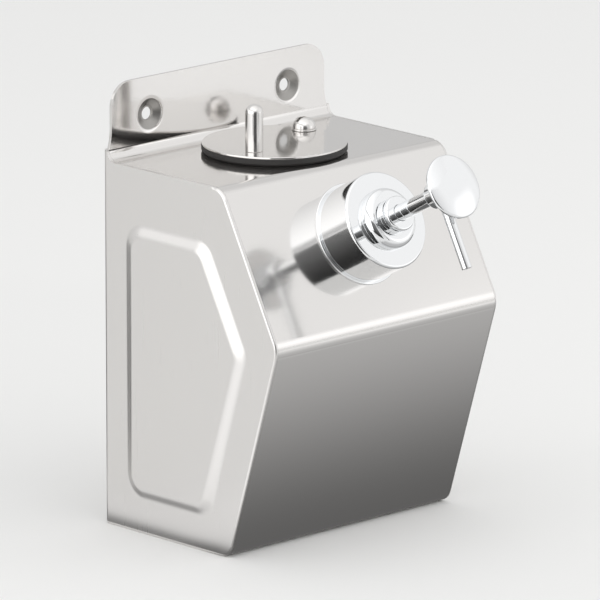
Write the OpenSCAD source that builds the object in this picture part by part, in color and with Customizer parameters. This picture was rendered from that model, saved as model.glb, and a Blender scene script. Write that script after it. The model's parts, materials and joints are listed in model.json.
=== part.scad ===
// Wall-hung soap dispenser: folded steel tank, swing filler lid and push pump.
// Millimetres. +Z is up and the front faces -Y. The origin lies on the wall,
// midway between the two wall screws.

/* [Tank] */
// Width over the flat of the side panels
tank_w = 110; // [95:1:130]
// Height of the top face above the bottom
tank_h = 134.5; // [125:0.5:150]
// Depth of the bottom, from the wall to the front edge
base_d = 66; // [60:1:75]
// Depth at the fold between the slope and the front
fold_d = 91; // [86:0.5:100]
// Height of that fold above the bottom
fold_h = 80.5; // [74:0.5:86]
// Depth of the top face, from the wall to the top of the slope
top_d = 62.3; // [61:0.1:68]
// Thickness of the steel sheet
sheet_t = 1.2; // [0.8:0.1:1.6]
// Bend radius between the top and the slope
top_bend_r = 7; // [4:0.5:8]
// Bend radius between the slope and the front
fold_bend_r = 9; // [4:0.5:14]
// Bend radius between the front and the bottom
base_bend_r = 6; // [4:0.5:10]
// Bend radius between the bottom and the rear lip
heel_bend_r = 3.5; // [2.5:0.5:5]
// Height of the rear lip above the bottom
lip_h = 12; // [8:1:20]
// Bend radius of the upright rear edges
rear_bend_r = 2.2; // [1.8:0.1:2.4]
// Width of the return that each side panel folds onto the back
return_w = 12.5; // [9:0.5:20]
// Rounding of the ground edge welds, as a share of the sheet's thickness
weld_round = 0.8; // [0.3:0.1:0.9]

/* [Wall flange] */
// How far each end of the flange stands in from the tank's side
flange_inset = 2.5; // [2.5:0.5:8]
// Height of the flange above the top face
flange_h = 27.9; // [26:0.1:40]
// Radius of the flange's upper corners
flange_corner_r = 9; // [4:0.5:10]
// Radius of the flare at the foot of the flange
flange_flare_r = 24; // [6:0.5:30]
// Radius of the bend between the flange and the top
flange_bend_r = 4; // [3:0.2:4.6]
// How far the back plate laps up behind the flange
lap_h = 2.5; // [1.5:0.5:3]
// Height of the screw line above the top face
screw_line_h = 14.1; // [13.5:0.1:16]
// Distance between the wall screws
screw_spacing = 68; // [50:1:76]
// Diameter of the screw holes
screw_hole_d = 4.6; // [3.5:0.1:5]
// Diameter of the pressed dimple round each hole
dimple_d = 11.8; // [10:0.2:13]
// Diameter of the seat at the bottom of the dimple
dimple_seat_d = 5.8; // [5.4:0.1:7]
// Thickness of that seat
dimple_seat_t = 0.6; // [0.4:0.1:0.8]

/* [Side pressing] */
// How far the pressing stands out of the side
pressing_h = 1.9; // [1:0.1:3]
// Width of its soft bevel
pressing_run = 5.4; // [3:0.2:8]
// Corner radius at the middle of the bevel
pressing_corner_r = 7; // [5:0.5:10]
// Distance of the bevel's middle from the wall
pressing_rear = 14.8; // [10:0.2:20]
// Distance of the bevel's middle from the bottom
pressing_bottom = 15; // [12:0.5:25]
// Distance of the bevel's middle from the front
pressing_front = 15.3; // [12:0.1:22]
// Distance of the bevel's middle from the slope
pressing_slope = 18; // [12:0.5:25]
// Distance of the bevel's middle from the top
pressing_top = 22.5; // [14:0.5:30]

/* [Filler lid] */
// Diameter of the lid
lid_d = 52.4; // [48:0.2:53]
// Thickness of the lid
lid_t = 0.8; // [0.8:0.1:2.5]
// Distance of the lid's centre from the wall
lid_wall_d = 31.5; // [31:0.5:34]
// Diameter of the filler hole in the top
filler_d = 32; // [24:1:34]
// Outer diameter of the gasket
gasket_d = 52.8; // [49:0.2:53]
// Bevel under the gasket's rim, clear of the flange's bend
gasket_bevel = 0.9; // [0.8:0.1:1.2]
// Bore of the gasket
gasket_bore_d = 35; // [34:0.5:36]
// Thickness of the gasket
gasket_t = 2.6; // [1.8:0.2:5]
// Distance of the pivot from the lid's centre
pivot_r = 21.5; // [21:0.1:21.6]
// Direction of the pivot from the lid's centre, from the right towards the wall
pivot_angle = 17; // [0:1:30]
// Diameter of the pivot screw's shank
pivot_shank_d = 4; // [3:0.5:4.5]
// Diameter of the shoulder that the lid turns on
pivot_shoulder_d = 5.2; // [5:0.1:5.6]
// Diameter of the screw's round head
pivot_head_d = 8.6; // [8:0.1:9]
// Height of the screw's round head
pivot_head_h = 4; // [2.5:0.1:4.2]
// Width of the slot in the head
pivot_slot_w = 1.2; // [0.8:0.1:1.6]
// Depth of the slot in the head
pivot_slot_depth = 1.4; // [0.8:0.1:1.8]
// Diameter of the washer under the head
pivot_washer_d = 9.2; // [8:0.1:9.4]
// Thickness of the washer under the head
pivot_washer_t = 0.6; // [0.4:0.1:1]
// Width across the flats of the nut under the top
pivot_nut_flats = 7; // [6.5:0.5:9]
// Height of that nut
pivot_nut_h = 3.2; // [2.4:0.2:5]
// Diameter of the grip pin
grip_pin_d = 6.5; // [5:0.5:7.5]
// Height of the grip pin above the lid
grip_pin_h = 17; // [10:0.5:24]
// Distance of the grip pin from the lid's centre
grip_pin_r = 16.8; // [14:0.1:22]
// Direction of the grip pin from the lid's centre, from the right towards the wall
grip_pin_angle = 201; // [180:1:240]
// Diameter of the pin's tail, riveted flush in the lid
grip_tail_d = 3.6; // [3:0.2:4.4]

/* [Pump outside] */
// Distance of the pump's axis down the slope from its top edge
pump_drop = 26.3; // [25:0.1:32]
// Diameter of the ring that the barrel seats on
ring_d = 38.2; // [37.4:0.2:42]
// Thickness of that ring
ring_t = 0.8; // [0.6:0.1:3]
// Diameter of the barrel
barrel_d = 36.2; // [34.4:0.2:37]
// Height of the barrel's face above the slope
barrel_top = 16.8; // [16:0.2:20]
// Wall of the barrel
barrel_wall = 1.5; // [1.2:0.1:1.8]
// Thickness of the barrel's face
barrel_face_t = 2; // [1.6:0.1:3]
// Chamfer on the barrel's rim
barrel_chamfer = 1; // [0.5:0.1:1.2]
// Diameter of the domed gland nut
gland_d = 22.7; // [20:0.1:26]
// Height of the gland nut above the barrel
gland_h = 4.2; // [3.6:0.2:6]
// Radius of the gland nut's dome
gland_dome_r = 3; // [1:0.2:3.4]
// Diameter of the guide collar
collar_d = 13; // [11.5:0.5:15]
// Height of the guide collar above the gland nut
collar_h = 4; // [3:0.2:6]
// Diameter of the groove in the collar
collar_groove_d = 11.4; // [10.6:0.2:11.4]
// Width of that groove
collar_groove_w = 0.8; // [0.5:0.1:1.2]
// Radius of the collar's outer edge
collar_edge_r = 0.8; // [0.4:0.1:1]
// Diameter of the stem
stem_d = 6; // [5:0.1:6.4]
// Bore of the stem
stem_bore_d = 3; // [2:0.1:3.2]
// Length of the hub
hub_h = 7.5; // [6.5:0.1:9]
// Diameter of the hub
hub_d = 10; // [9:0.1:12]
// Radius of the hub's lower edge
hub_edge_r = 1.2; // [0.5:0.1:1.6]
// Outer diameter of the spout tube
spout_d = 3.8; // [3:0.1:4]
// Bore of the spout tube
spout_bore_d = 2.2; // [1.6:0.1:2.6]
// Height of the spout above the hub's lower end
spout_rise = 4.2; // [3:0.1:4.4]
// Reach of the spout from the pump's axis
spout_reach = 28.5; // [20:0.5:36]
// Diameter of the button
button_d = 23.5; // [20:0.5:28]
// Length of the button's boss
button_boss_h = 3; // [2:0.2:5]
// Thickness of the button at its rim
button_rim_t = 1.4; // [1.2:0.1:3]
// Crown of the button's face
button_crown = 2.2; // [1:0.1:3]
// Radius of the button's edge
button_edge_r = 0.5; // [0.2:0.1:0.5]
// Depth of the stem's socket in the button
button_socket = 1.5; // [1:0.1:1.9]
// Travel of the button
stroke = 18; // [10:0.5:18]
// Gap left under the hub at full travel
stroke_spare = 0.5; // [0.3:0.1:3]

/* [Pump inside] */
// Bore of the pump cylinder
bore_d = 16; // [15:0.5:17]
// Outer diameter of the pump cylinder
cylinder_d = 21; // [20:0.5:22]
// Depth of the cylinder's inner end below the slope
cylinder_depth = 33; // [33:1:38]
// Diameter of the cylinder's flange under the barrel
cylinder_flange_d = 30; // [26:0.5:31]
// Thickness of that flange
cylinder_flange_t = 2.5; // [2:0.5:5]
// Outer diameter of the rubber washer inside the slope
washer_d = 32; // [28:1:36]
// Thickness of that washer
washer_t = 2; // [1:0.2:3]
// Width across the flats of the lock nut
lock_flats = 32; // [28:1:34]
// Height of the lock nut
lock_h = 5; // [4:0.5:8]
// Length of the gland nut's spigot in the cylinder
gland_spigot = 6.8; // [6:0.2:8]
// Outer diameter of the stem packing
packing_d = 9; // [8.6:0.2:9.6]
// Height of the stem packing
packing_h = 4; // [3:0.2:4.4]
// Length of the guide collar's spigot
collar_spigot = 4; // [3:0.2:4.4]
// Length of the piston
piston_h = 10; // [9:0.5:11]
// Diameter of the piston's nose inside the spring
nose_d = 8.4; // [8:0.2:9]
// Length of the piston's nose
nose_h = 3; // [2:0.5:5]
// Depth of the seal groove in the piston
seal_groove_depth = 1.7; // [1:0.1:2]
// Width of the seal groove
seal_w = 2.9; // [2:0.1:3]
// Diameter of the port through the piston's nose
nose_port_d = 3.2; // [2.4:0.1:3.4]
// Diameter of the outlet ball
outlet_ball_d = 4.4; // [4.2:0.1:4.6]
// Lift of the outlet ball
outlet_lift = 1; // [0.6:0.1:1.4]
// Wire of the return spring
wire_d = 1.2; // [1:0.1:1.4]
// Mean diameter of the return spring
coil_d = 12; // [11.6:0.2:12.6]
// Turns of the return spring
coil_turns = 8; // [6:1:9]
// Outer diameter of the inlet elbow's cap
cap_d = 25; // [24:0.5:30]
// Length of the cap over the cylinder
cap_grip = 7; // [5:0.5:10]
// Thickness of the cap's end
cap_end_t = 8; // [7:0.5:10]
// Thickness of the seal inside the cap
cap_seal_t = 1; // [0.8:0.1:2]
// Bore of that seal
cap_seal_bore_d = 14.6; // [14.2:0.2:16]
// Diameter of the way from the leg to the cylinder
cap_port_d = 6; // [4:0.5:8]
// Outer diameter of the elbow's upright leg
leg_d = 15; // [13:0.5:16]
// Diameter of the valve chamber in the leg
chamber_d = 8.4; // [7.6:0.2:9]
// Height of the valve chamber
chamber_h = 12; // [11:0.5:16]
// Thickness of the leg's foot below the valve seat
leg_foot_t = 4; // [3:0.5:6]
// Diameter of the inlet ball
inlet_ball_d = 6.4; // [5.6:0.1:6.8]
// Lift of the inlet ball
inlet_lift = 2; // [1:0.1:2]
// Diameter of the valve's port
port_d = 4.4; // [3:0.2:4.6]
// Diameter of the pin that stops the ball
stop_pin_d = 1.5; // [1.2:0.1:1.8]
// Outer diameter of the leg's nipple
nipple_d = 6.8; // [6.2:0.2:8]
// Length of the nipple
nipple_h = 11; // [8:0.5:14]
// Wall of the suction tube
tube_wall = 1.5; // [1:0.1:2]
// Depth of the suction tube in the strainer
strainer_socket = 5; // [4:0.5:8]
// Wall of the strainer
strainer_wall = 2; // [1.4:0.1:3]
// Height of the strainer's slots
strainer_slot_h = 4; // [3:0.2:6]
// Thickness of the strainer's floor
strainer_floor_t = 1.2; // [0.8:0.1:2]
// Number of slots in the strainer
strainer_slots = 8; // [6:1:10]
// Width of a strainer slot
strainer_slot_w = 1.6; // [1:0.1:2]

/* [Clearances] */
// Gap between welded edges
weld_gap = 0.05; // [0.02:0.01:0.1]
// Running clearance round a pivot, stem or piston, on the radius
run_gap = 0.06; // [0.02:0.01:0.1]
// Clearance round fixed pieces, on the radius
fit_gap = 0.04; // [0.02:0.01:0.1]
// Gap at a face that slides or turns
slide_gap = 0.1; // [0.05:0.01:0.2]
// Room round the cylinder in the slope's hole, on the radius
hole_gap = 0.3; // [0.1:0.1:0.5]
// Room round the shoulder in the gasket, on the radius
gasket_gap = 0.4; // [0.2:0.1:0.6]
// Room round a valve ball, on the radius
flow_gap = 0.4; // [0.3:0.1:0.5]
// Gap under a valve ball at rest
ball_gap = 0.05; // [0.02:0.01:0.1]
// Gap between the strainer and the tank's floor
floor_gap = 0.3; // [0.2:0.1:1]

/* [Hidden] */
$fn = 64;
// Straight steps in each arc of an outline
arc_steps = 8;
// Overshoot of a cutting tool
cut = 1;

// Heights, from the screw line
top_z = -screw_line_h;
bottom_z = top_z - tank_h;
fold_z = bottom_z + fold_h;
floor_z = bottom_z + sheet_t;
flange_top_z = top_z + flange_h;
flange_foot_z = top_z + flange_bend_r;

// The flange stands off the wall by one sheet, so that the back of each dimple meets the wall
flange_front_d = 2 * sheet_t;
flange_w = tank_w - 2 * flange_inset;
inner_x = tank_w / 2 - sheet_t;
return_x = tank_w / 2 - return_w;
bend_x = tank_w / 2 - rear_bend_r;

// Slope and pump axis
slope_v = [fold_d - top_d, fold_z - top_z];
slope_dir = slope_v / norm(slope_v);
pump_tilt = atan2(-slope_dir.y, slope_dir.x);
pump_d = top_d + pump_drop * slope_dir.x;
pump_z = top_z + pump_drop * slope_dir.y;

// Lid stack
gasket_z = top_z + slide_gap;
lid_z = gasket_z + gasket_t;
lid_top_z = lid_z + lid_t;
pivot_washer_z = lid_top_z + slide_gap;
pivot_head_z = pivot_washer_z + pivot_washer_t;
pivot_xy = [pivot_r * cos(pivot_angle), pivot_r * sin(pivot_angle) - lid_wall_d];
grip_xy = [grip_pin_r * cos(grip_pin_angle), grip_pin_r * sin(grip_pin_angle) - lid_wall_d];

// Levels along the pump's axis, from the slope's outer face
cylinder_top = barrel_top - barrel_face_t;
collar_foot = barrel_top + gland_h;
collar_top = collar_foot + collar_h;
gland_foot = barrel_top - gland_spigot;
packing_top = collar_foot - collar_spigot;
packing_foot = packing_top - packing_h;
piston_top = gland_foot - slide_gap;
piston_foot = piston_top - piston_h;
nose_foot = piston_foot - nose_h;
seal_foot = piston_foot + (piston_h - seal_w) / 2;
outlet_seat = piston_foot - nose_h / 2;
outlet_ball_k = outlet_seat + ball_gap + ball_rise(outlet_ball_d, nose_port_d);
stem_foot = outlet_ball_k + outlet_lift + outlet_ball_d / 2;
hub_base = collar_top + stroke + stroke_spare;
spout_k = hub_base + spout_rise;
hub_top = hub_base + hub_h;
stem_top = hub_top + button_socket;
cap_seal_k = -cylinder_depth - cap_seal_t;
cap_end_k = cap_seal_k - cap_end_t;
spring_foot = cap_seal_k + wire_d / 2;
spring_top = piston_foot - wire_d / 2;

// Upright leg of the inlet elbow, where the pump's axis meets it
leg_k = cap_seal_k - cap_end_t / 2;
leg_wall_d = pump_d + leg_k * sin(pump_tilt);
leg_z = pump_z + leg_k * cos(pump_tilt);
valve_z = leg_z - chamber_h;
inlet_ball_z = valve_z + ball_gap + ball_rise(inlet_ball_d, port_d);
stop_pin_z = inlet_ball_z + inlet_lift + ball_gap + (inlet_ball_d + stop_pin_d) / 2;
nipple_z = valve_z - leg_foot_t;
tube_bore_d = nipple_d + 2 * fit_gap;
tube_d = tube_bore_d + 2 * tube_wall;
strainer_d = tube_d + 2 * (fit_gap + strainer_wall);
strainer_z = floor_z + floor_gap;
strainer_seat_z = strainer_z + 2 * strainer_floor_t + strainer_slot_h;

// Colours of the finishes
steel = [0.80, 0.80, 0.79];
polished = [0.88, 0.88, 0.87];
dark_steel = [0.58, 0.58, 0.58];
black_rubber = [0.12, 0.12, 0.12];
white_nylon = [0.90, 0.89, 0.85];
clear_tube = [0.86, 0.90, 0.88];

// How far a ball's centre lies above the edge of the round port that it closes
function ball_rise(ball_d, hole_d) = sqrt(ball_d * ball_d - hole_d * hole_d) / 2;

// Unit vector, and the normal on the left of a direction
function unit(v) = v / norm(v);
function left_of(v) = [-unit(v).y, unit(v).x];

// An angle brought into -180 to 180 degrees
function wrapped(a) = a > 180 ? a - 360 : a < -180 ? a + 360 : a;

// Points of the arc that rounds corner b of the outline a, b, c
function corner_arc(a, b, c, r) =
  r == 0 ? [b] :
  let (
    u = unit(a - b),
    w = unit(c - b),
    half = acos(u * w) / 2,
    centre = b + unit(u + w) * r / sin(half),
    start = b + u * r / tan(half) - centre,
    end = b + w * r / tan(half) - centre,
    from = atan2(start.y, start.x),
    turn = wrapped(atan2(end.y, end.x) - from) / arc_steps
  )
  [for (k = [0 : arc_steps]) centre + r * [cos(from + turn * k), sin(from + turn * k)]];

// An outline with the given radius at each corner
function rounded(p, r) =
  let (n = len(p))
  [for (i = [0 : n - 1]) each corner_arc(p[(i + n - 1) % n], p[i], p[(i + 1) % n], r[i])];

// Corner b moved to the left of the edges a-b and b-c by two distances
function inset_corner(a, b, c, m1, m2) =
  let (n1 = left_of(b - a), n2 = left_of(c - b))
  b + [m1 * n2.y - m2 * n1.y, m2 * n1.x - m1 * n2.x] / (n1.x * n2.y - n1.y * n2.x);

// An open path moved sideways, to its left
function offset_path(p, m) =
  let (last = len(p) - 1)
  [for (i = [0 : last])
    i == 0 ? p[0] + m * left_of(p[1] - p[0]) :
    i == last ? p[last] + m * left_of(p[last] - p[last - 1]) :
    inset_corner(p[i - 1], p[i], p[i + 1], m, m)];

// A closed outline moved inwards, each edge by its own distance
function inset_outline(p, m) =
  let (n = len(p))
  [for (i = [0 : n - 1])
    inset_corner(p[(i + n - 1) % n], p[i], p[(i + 1) % n], m[(i + n - 1) % n], m[i])];

function reversed(p) = [for (i = [len(p) - 1 : -1 : 0]) p[i]];

// Draws a side profile, depth by height, across the tank's width
module across(width) {
  rotate([0, 0, -90])
    rotate([90, 0, 0])
      linear_extrude(width, center = true)
        children();
}

// Draws a front profile, width by height, through the flange
module through_flange() {
  translate([0, cut, 0])
    rotate([90, 0, 0])
      linear_extrude(flange_front_d + 2 * cut)
        children();
}

// Moves children to the pump's axis, with their own z along it and zero on the slope
module on_pump() {
  translate([0, -pump_d, pump_z])
    rotate([pump_tilt, 0, 0])
      children();
}

// Moves children to the upright leg of the inlet elbow
module on_leg() {
  translate([0, -leg_wall_d, 0])
    children();
}

// A turned piece whose outline is given as radius and height
module turned(p, r) {
  rotate_extrude()
    polygon(rounded(p, r));
}

// A round solid between two levels, also used as a cutter
module rod(d, from, to) {
  translate([0, 0, from])
    cylinder(d = d, h = to - from);
}

// A tube between two levels
module tube(od, id, from, to) {
  difference() {
    rod(od, from, to);
    rod(id, from - cut, to + cut);
  }
}

// A six-sided nut between two levels
module hex_nut(flats, bore, from, to) {
  difference() {
    translate([0, 0, from])
      cylinder(d = flats / cos(30), h = to - from, $fn = 6);
    rod(bore, from - cut, to + cut);
  }
}

// Folded path of the wrap's outer face: flange, top, slope, front, bottom and rear lip
wrap_path = [
  [flange_front_d, flange_top_z], [flange_front_d, top_z], [top_d, top_z], [fold_d, fold_z],
  [base_d, bottom_z], [0, bottom_z], [0, bottom_z + lip_h]
];
wrap_outer_r = [0, flange_bend_r, top_bend_r, fold_bend_r, base_bend_r, heel_bend_r, 0];
wrap_inner_r = [
  0, flange_bend_r + sheet_t, top_bend_r - sheet_t, fold_bend_r - sheet_t,
  base_bend_r - sheet_t, heel_bend_r - sheet_t, 0
];

// Outline of a side panel, with the horn that follows the bend into the flange
horn_z = flange_foot_z + weld_gap;
side_outline = [
  [0, bottom_z], [base_d, bottom_z], [fold_d, fold_z], [top_d, top_z],
  [flange_front_d, top_z], [flange_front_d, horn_z], [0, horn_z]
];

// That outline with its bends, moved in from the panel's edge
function side_ring(m) =
  rounded(
    inset_outline(side_outline, [for (p = side_outline) m]),
    [heel_bend_r - m, base_bend_r - m, fold_bend_r - m, top_bend_r - m, flange_bend_r + m, 0, 0]
  );

// Edges of the tank's side that the pressing follows, and its distance from each
side_corners = [[0, bottom_z], [base_d, bottom_z], [fold_d, fold_z], [top_d, top_z], [0, top_z]];
pressing_margin = [pressing_bottom, pressing_front, pressing_slope, pressing_top, pressing_rear];

// Corners of the pressing at the middle of its bevel
pressing_corners = inset_outline(side_corners, pressing_margin);

// Outline of the pressing, grown by a distance from the middle of its bevel
function pressing_ring(grow) =
  rounded(
    inset_outline(pressing_corners, [for (p = pressing_corners) -grow]),
    [for (p = pressing_corners) pressing_corner_r + grow]
  );

// A solid through a row of side outlines, each given with its distance from the tank's middle
module loft(outlines) {
  rings = [for (outline = outlines) [for (p = outline[1]) [outline[0], -p.x, p.y]]];
  n = len(rings[0]);
  last = len(rings) - 1;
  polyhedron(
    points = [for (ring = rings) each ring],
    faces = concat(
      [[for (i = [n - 1 : -1 : 0]) i]],
      [for (k = [0 : last - 1], i = [0 : n - 1])
        each [
          [k * n + i, k * n + (i + 1) % n, (k + 1) * n + (i + 1) % n],
          [k * n + i, (k + 1) * n + (i + 1) % n, (k + 1) * n + i]
        ]],
      [[for (i = [0 : n - 1]) last * n + i]]
    )
  );
}

// The tank's side as a block whose outer edge is ground round at the weld
module side_form() {
  steps = 4;
  edge = weld_round * sheet_t;
  loft(concat(
    [[return_x - cut, side_ring(0)]],
    [for (k = [0 : steps])
      let (a = 90 * k / steps)
      [tank_w / 2 - edge * (1 - sin(a)), side_ring(edge * (1 - cos(a)))]],
    [[tank_w / 2 + cut, side_ring(edge)]]
  ));
}

// The pressing as a solid: a soft S-shaped bevel from the foot level up to the raised field
module pressing_form(foot, base) {
  steps = 6;
  loft(concat(
    [[foot, pressing_ring(pressing_run / 2)]],
    [for (k = [0 : steps])
      [
        base + pressing_h * (1 - cos(180 * k / steps)) / 2,
        pressing_ring(pressing_run * (1 / 2 - k / steps))
      ]]
  ));
}

// Narrows the flange above its foot, with a flared start, and rounds its upper corner
module flange_side_trim() {
  step = inner_x - flange_w / 2;
  rise = sqrt(pow(flange_flare_r, 2) - pow(flange_flare_r - step, 2));
  trim_z = horn_z + rise;
  corner = [flange_w / 2 - flange_corner_r, flange_top_z - flange_corner_r];
  through_flange() {
    translate([flange_w / 2, trim_z])
      square([return_w, flange_h]);
    translate([flange_w / 2 + flange_flare_r, trim_z])
      circle(flange_flare_r);
    difference() {
      translate(corner)
        square(flange_corner_r + cut);
      translate(corner)
        circle(flange_corner_r);
    }
  }
}

// The pressed cup round one wall screw
module dimple() {
  rim = dimple_d / 2;
  seat = dimple_seat_d / 2;
  bore = screw_hole_d / 2;
  rotate([90, 0, 0])
    rotate_extrude()
      polygon([
        [bore, 0], [seat, 0], [rim, sheet_t],
        [rim, flange_front_d], [seat, dimple_seat_t], [bore, dimple_seat_t]
      ]);
}

// Clears the wrap's rear corners from the side panels' rear bends and returns
module rear_corner_trim() {
  translate([return_x - weld_gap, -sheet_t - weld_gap, bottom_z - cut])
    cube([return_w + cut, sheet_t + weld_gap + cut, lip_h + 2 * cut]);
  translate([bend_x - weld_gap, -rear_bend_r - weld_gap, bottom_z - cut])
    cube([rear_bend_r + cut, rear_bend_r + weld_gap + cut, horn_z - bottom_z + cut]);
}

module front_wrap() {
  color(steel) {
    difference() {
      across(2 * (inner_x - weld_gap))
        polygon(concat(
          rounded(wrap_path, wrap_outer_r),
          reversed(rounded(offset_path(wrap_path, -sheet_t), wrap_inner_r))
        ));
      for (side = [0, 1])
        mirror([side, 0, 0]) {
          flange_side_trim();
          rear_corner_trim();
          through_flange()
            translate([screw_spacing / 2, 0])
              circle(d = dimple_d);
        }
      translate([0, -lid_wall_d, 0])
        rod(filler_d, top_z - sheet_t - cut, top_z + cut);
      translate(pivot_xy)
        rod(pivot_shank_d + 2 * fit_gap, top_z - sheet_t - cut, top_z + cut);
      on_pump()
        rod(cylinder_d + 2 * hole_gap, -sheet_t - cut, cut);
    }
    for (side = [-1, 1])
      translate([side * screw_spacing / 2, 0, 0])
        dimple();
  }
}

// Right side panel: a sheet with a bent rear return, cut to the tank's outline and pressed outwards
module side_panel() {
  color(steel)
    difference() {
      union() {
        intersection() {
          translate([0, 0, bottom_z - cut])
            linear_extrude(tank_h + flange_h)
              polygon(concat(
                rounded(
                  [[tank_w / 2, -fold_d - cut], [tank_w / 2, 0], [return_x, 0]],
                  [0, rear_bend_r, 0]
                ),
                reversed(rounded(
                  [[inner_x, -fold_d - cut], [inner_x, -sheet_t], [return_x, -sheet_t]],
                  [0, rear_bend_r - sheet_t, 0]
                ))
              ));
          side_form();
        }
        pressing_form(tank_w / 2 - sheet_t / 2, tank_w / 2);
      }
      pressing_form(inner_x - cut, inner_x);
    }
}

module left_side_panel() {
  mirror([1, 0, 0])
    side_panel();
}

module right_side_panel() {
  side_panel();
}

module back_plate() {
  foot = bottom_z + lip_h + weld_gap;
  head = flange_foot_z + lap_h;
  half = return_x - weld_gap;
  color(steel)
    translate([-half, -sheet_t, foot])
      cube([2 * half, sheet_t, head - foot]);
}

module filler_lid() {
  edge = lid_t / 4;
  color(polished)
    difference() {
      translate([0, -lid_wall_d, lid_z])
        turned(
          [[0, 0], [lid_d / 2, 0], [lid_d / 2, lid_t], [0, lid_t]],
          [0, edge, edge, 0]
        );
      translate(pivot_xy)
        rod(pivot_shoulder_d + 2 * run_gap, lid_z - cut, lid_top_z + cut);
      translate(grip_xy)
        rod(grip_tail_d + 2 * fit_gap, lid_z - cut, lid_top_z + cut);
    }
}

module lid_gasket() {
  r = gasket_d / 2;
  bore = gasket_bore_d / 2;
  color(black_rubber)
    difference() {
      translate([0, -lid_wall_d, gasket_z])
        turned(
          [[bore, 0], [r - gasket_bevel, 0], [r, gasket_bevel], [r, gasket_t], [bore, gasket_t]],
          [0, 0, 0, 0, 0]
        );
      translate(pivot_xy)
        rod(pivot_shoulder_d + 2 * gasket_gap, gasket_z - cut, lid_z + cut);
    }
}

// Grip pin with a domed top and a tail riveted flush in the lid
module lid_grip_pin() {
  r = grip_pin_d / 2;
  tail = grip_tail_d / 2;
  head = lid_t + grip_pin_h;
  color(polished)
    translate([grip_xy.x, grip_xy.y, lid_z])
      turned(
        [[0, 0], [tail, 0], [tail, lid_t], [r, lid_t], [r, head], [0, head]],
        [0, 0, 0, 0, r * 0.9, 0]
      );
}

// Shoulder screw that the lid turns on, with a slotted round head
module lid_pivot_screw() {
  r = pivot_head_d / 2;
  shank = pivot_shank_d / 2;
  shoulder = pivot_shoulder_d / 2;
  head = pivot_head_z;
  tip = top_z - sheet_t - pivot_nut_h - shank;
  color(polished)
    translate([pivot_xy.x, pivot_xy.y, 0])
      difference() {
        turned(
          [
            [0, tip], [shank, tip], [shank, top_z], [shoulder, top_z], [shoulder, head],
            [r, head], [r, head + pivot_head_h], [0, head + pivot_head_h]
          ],
          [0, shank / 4, 0, 0, 0, 0, min(r, pivot_head_h) * 0.9, 0]
        );
        translate([-r, -pivot_slot_w / 2, head + pivot_head_h - pivot_slot_depth])
          cube([2 * r, pivot_slot_w, pivot_slot_depth + cut]);
      }
}

module lid_pivot_washer() {
  color(dark_steel)
    translate(pivot_xy)
      tube(pivot_washer_d, pivot_shoulder_d + 2 * fit_gap, pivot_washer_z, pivot_head_z);
}

module lid_pivot_nut() {
  under = top_z - sheet_t;
  color(dark_steel)
    translate(pivot_xy)
      hex_nut(pivot_nut_flats, pivot_shank_d + 2 * fit_gap, under - pivot_nut_h, under);
}

module seat_ring() {
  outer = ring_d / 2;
  inner = cylinder_d / 2 + hole_gap;
  color(polished)
    on_pump()
      turned(
        [[inner, 0], [outer, 0], [outer, ring_t], [inner, ring_t]],
        [0, 0, ring_t / 3, 0]
      );
}

module pump_barrel() {
  r = barrel_d / 2;
  inside = r - barrel_wall;
  bore = bore_d / 2 + fit_gap;
  color(polished)
    on_pump()
      rotate_extrude()
        polygon([
          [inside, ring_t], [r, ring_t], [r, barrel_top - barrel_chamfer], [r - barrel_chamfer, barrel_top],
          [bore, barrel_top], [bore, cylinder_top], [inside, cylinder_top]
        ]);
}

module pump_cylinder() {
  r = cylinder_d / 2;
  bore = bore_d / 2;
  flange = cylinder_flange_d / 2;
  flange_top = ring_t + cylinder_flange_t;
  color(dark_steel)
    on_pump()
      rotate_extrude()
        polygon([
          [bore, -cylinder_depth], [r, -cylinder_depth], [r, ring_t], [flange, ring_t],
          [flange, flange_top], [r, flange_top], [r, cylinder_top], [bore, cylinder_top]
        ]);
}

module gland_nut() {
  r = gland_d / 2;
  spigot = bore_d / 2 - fit_gap;
  cup = packing_d / 2 + fit_gap;
  bore = stem_d / 2 + run_gap;
  color(polished)
    on_pump()
      turned(
        [
          [bore, gland_foot], [spigot, gland_foot], [spigot, barrel_top], [r, barrel_top],
          [r, collar_foot], [cup, collar_foot], [cup, packing_foot], [bore, packing_foot]
        ],
        [0, 0, 0, 0, gland_dome_r, 0, 0, 0]
      );
}

module stem_packing() {
  color(black_rubber)
    on_pump()
      tube(packing_d, stem_d + 2 * run_gap, packing_foot, packing_top);
}

module guide_collar() {
  r = collar_d / 2;
  groove = collar_groove_d / 2;
  spigot = packing_d / 2;
  bore = stem_d / 2 + run_gap;
  groove_foot = collar_foot + (collar_h - collar_groove_w) / 2;
  groove_top = groove_foot + collar_groove_w;
  color(polished)
    on_pump()
      turned(
        [
          [bore, packing_top], [spigot, packing_top], [spigot, collar_foot], [r, collar_foot],
          [r, groove_foot], [groove, groove_foot], [groove, groove_top], [r, groove_top],
          [r, collar_top], [bore, collar_top]
        ],
        [0, 0, 0, 0, 0, 0, 0, 0, collar_edge_r, 0]
      );
}

module inner_seal_washer() {
  color(black_rubber)
    on_pump()
      tube(washer_d, cylinder_d + 2 * fit_gap, -sheet_t - washer_t, -sheet_t);
}

module lock_nut() {
  head = -sheet_t - washer_t;
  color(dark_steel)
    on_pump()
      hex_nut(lock_flats, cylinder_d + 2 * fit_gap, head - lock_h, head);
}

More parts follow.
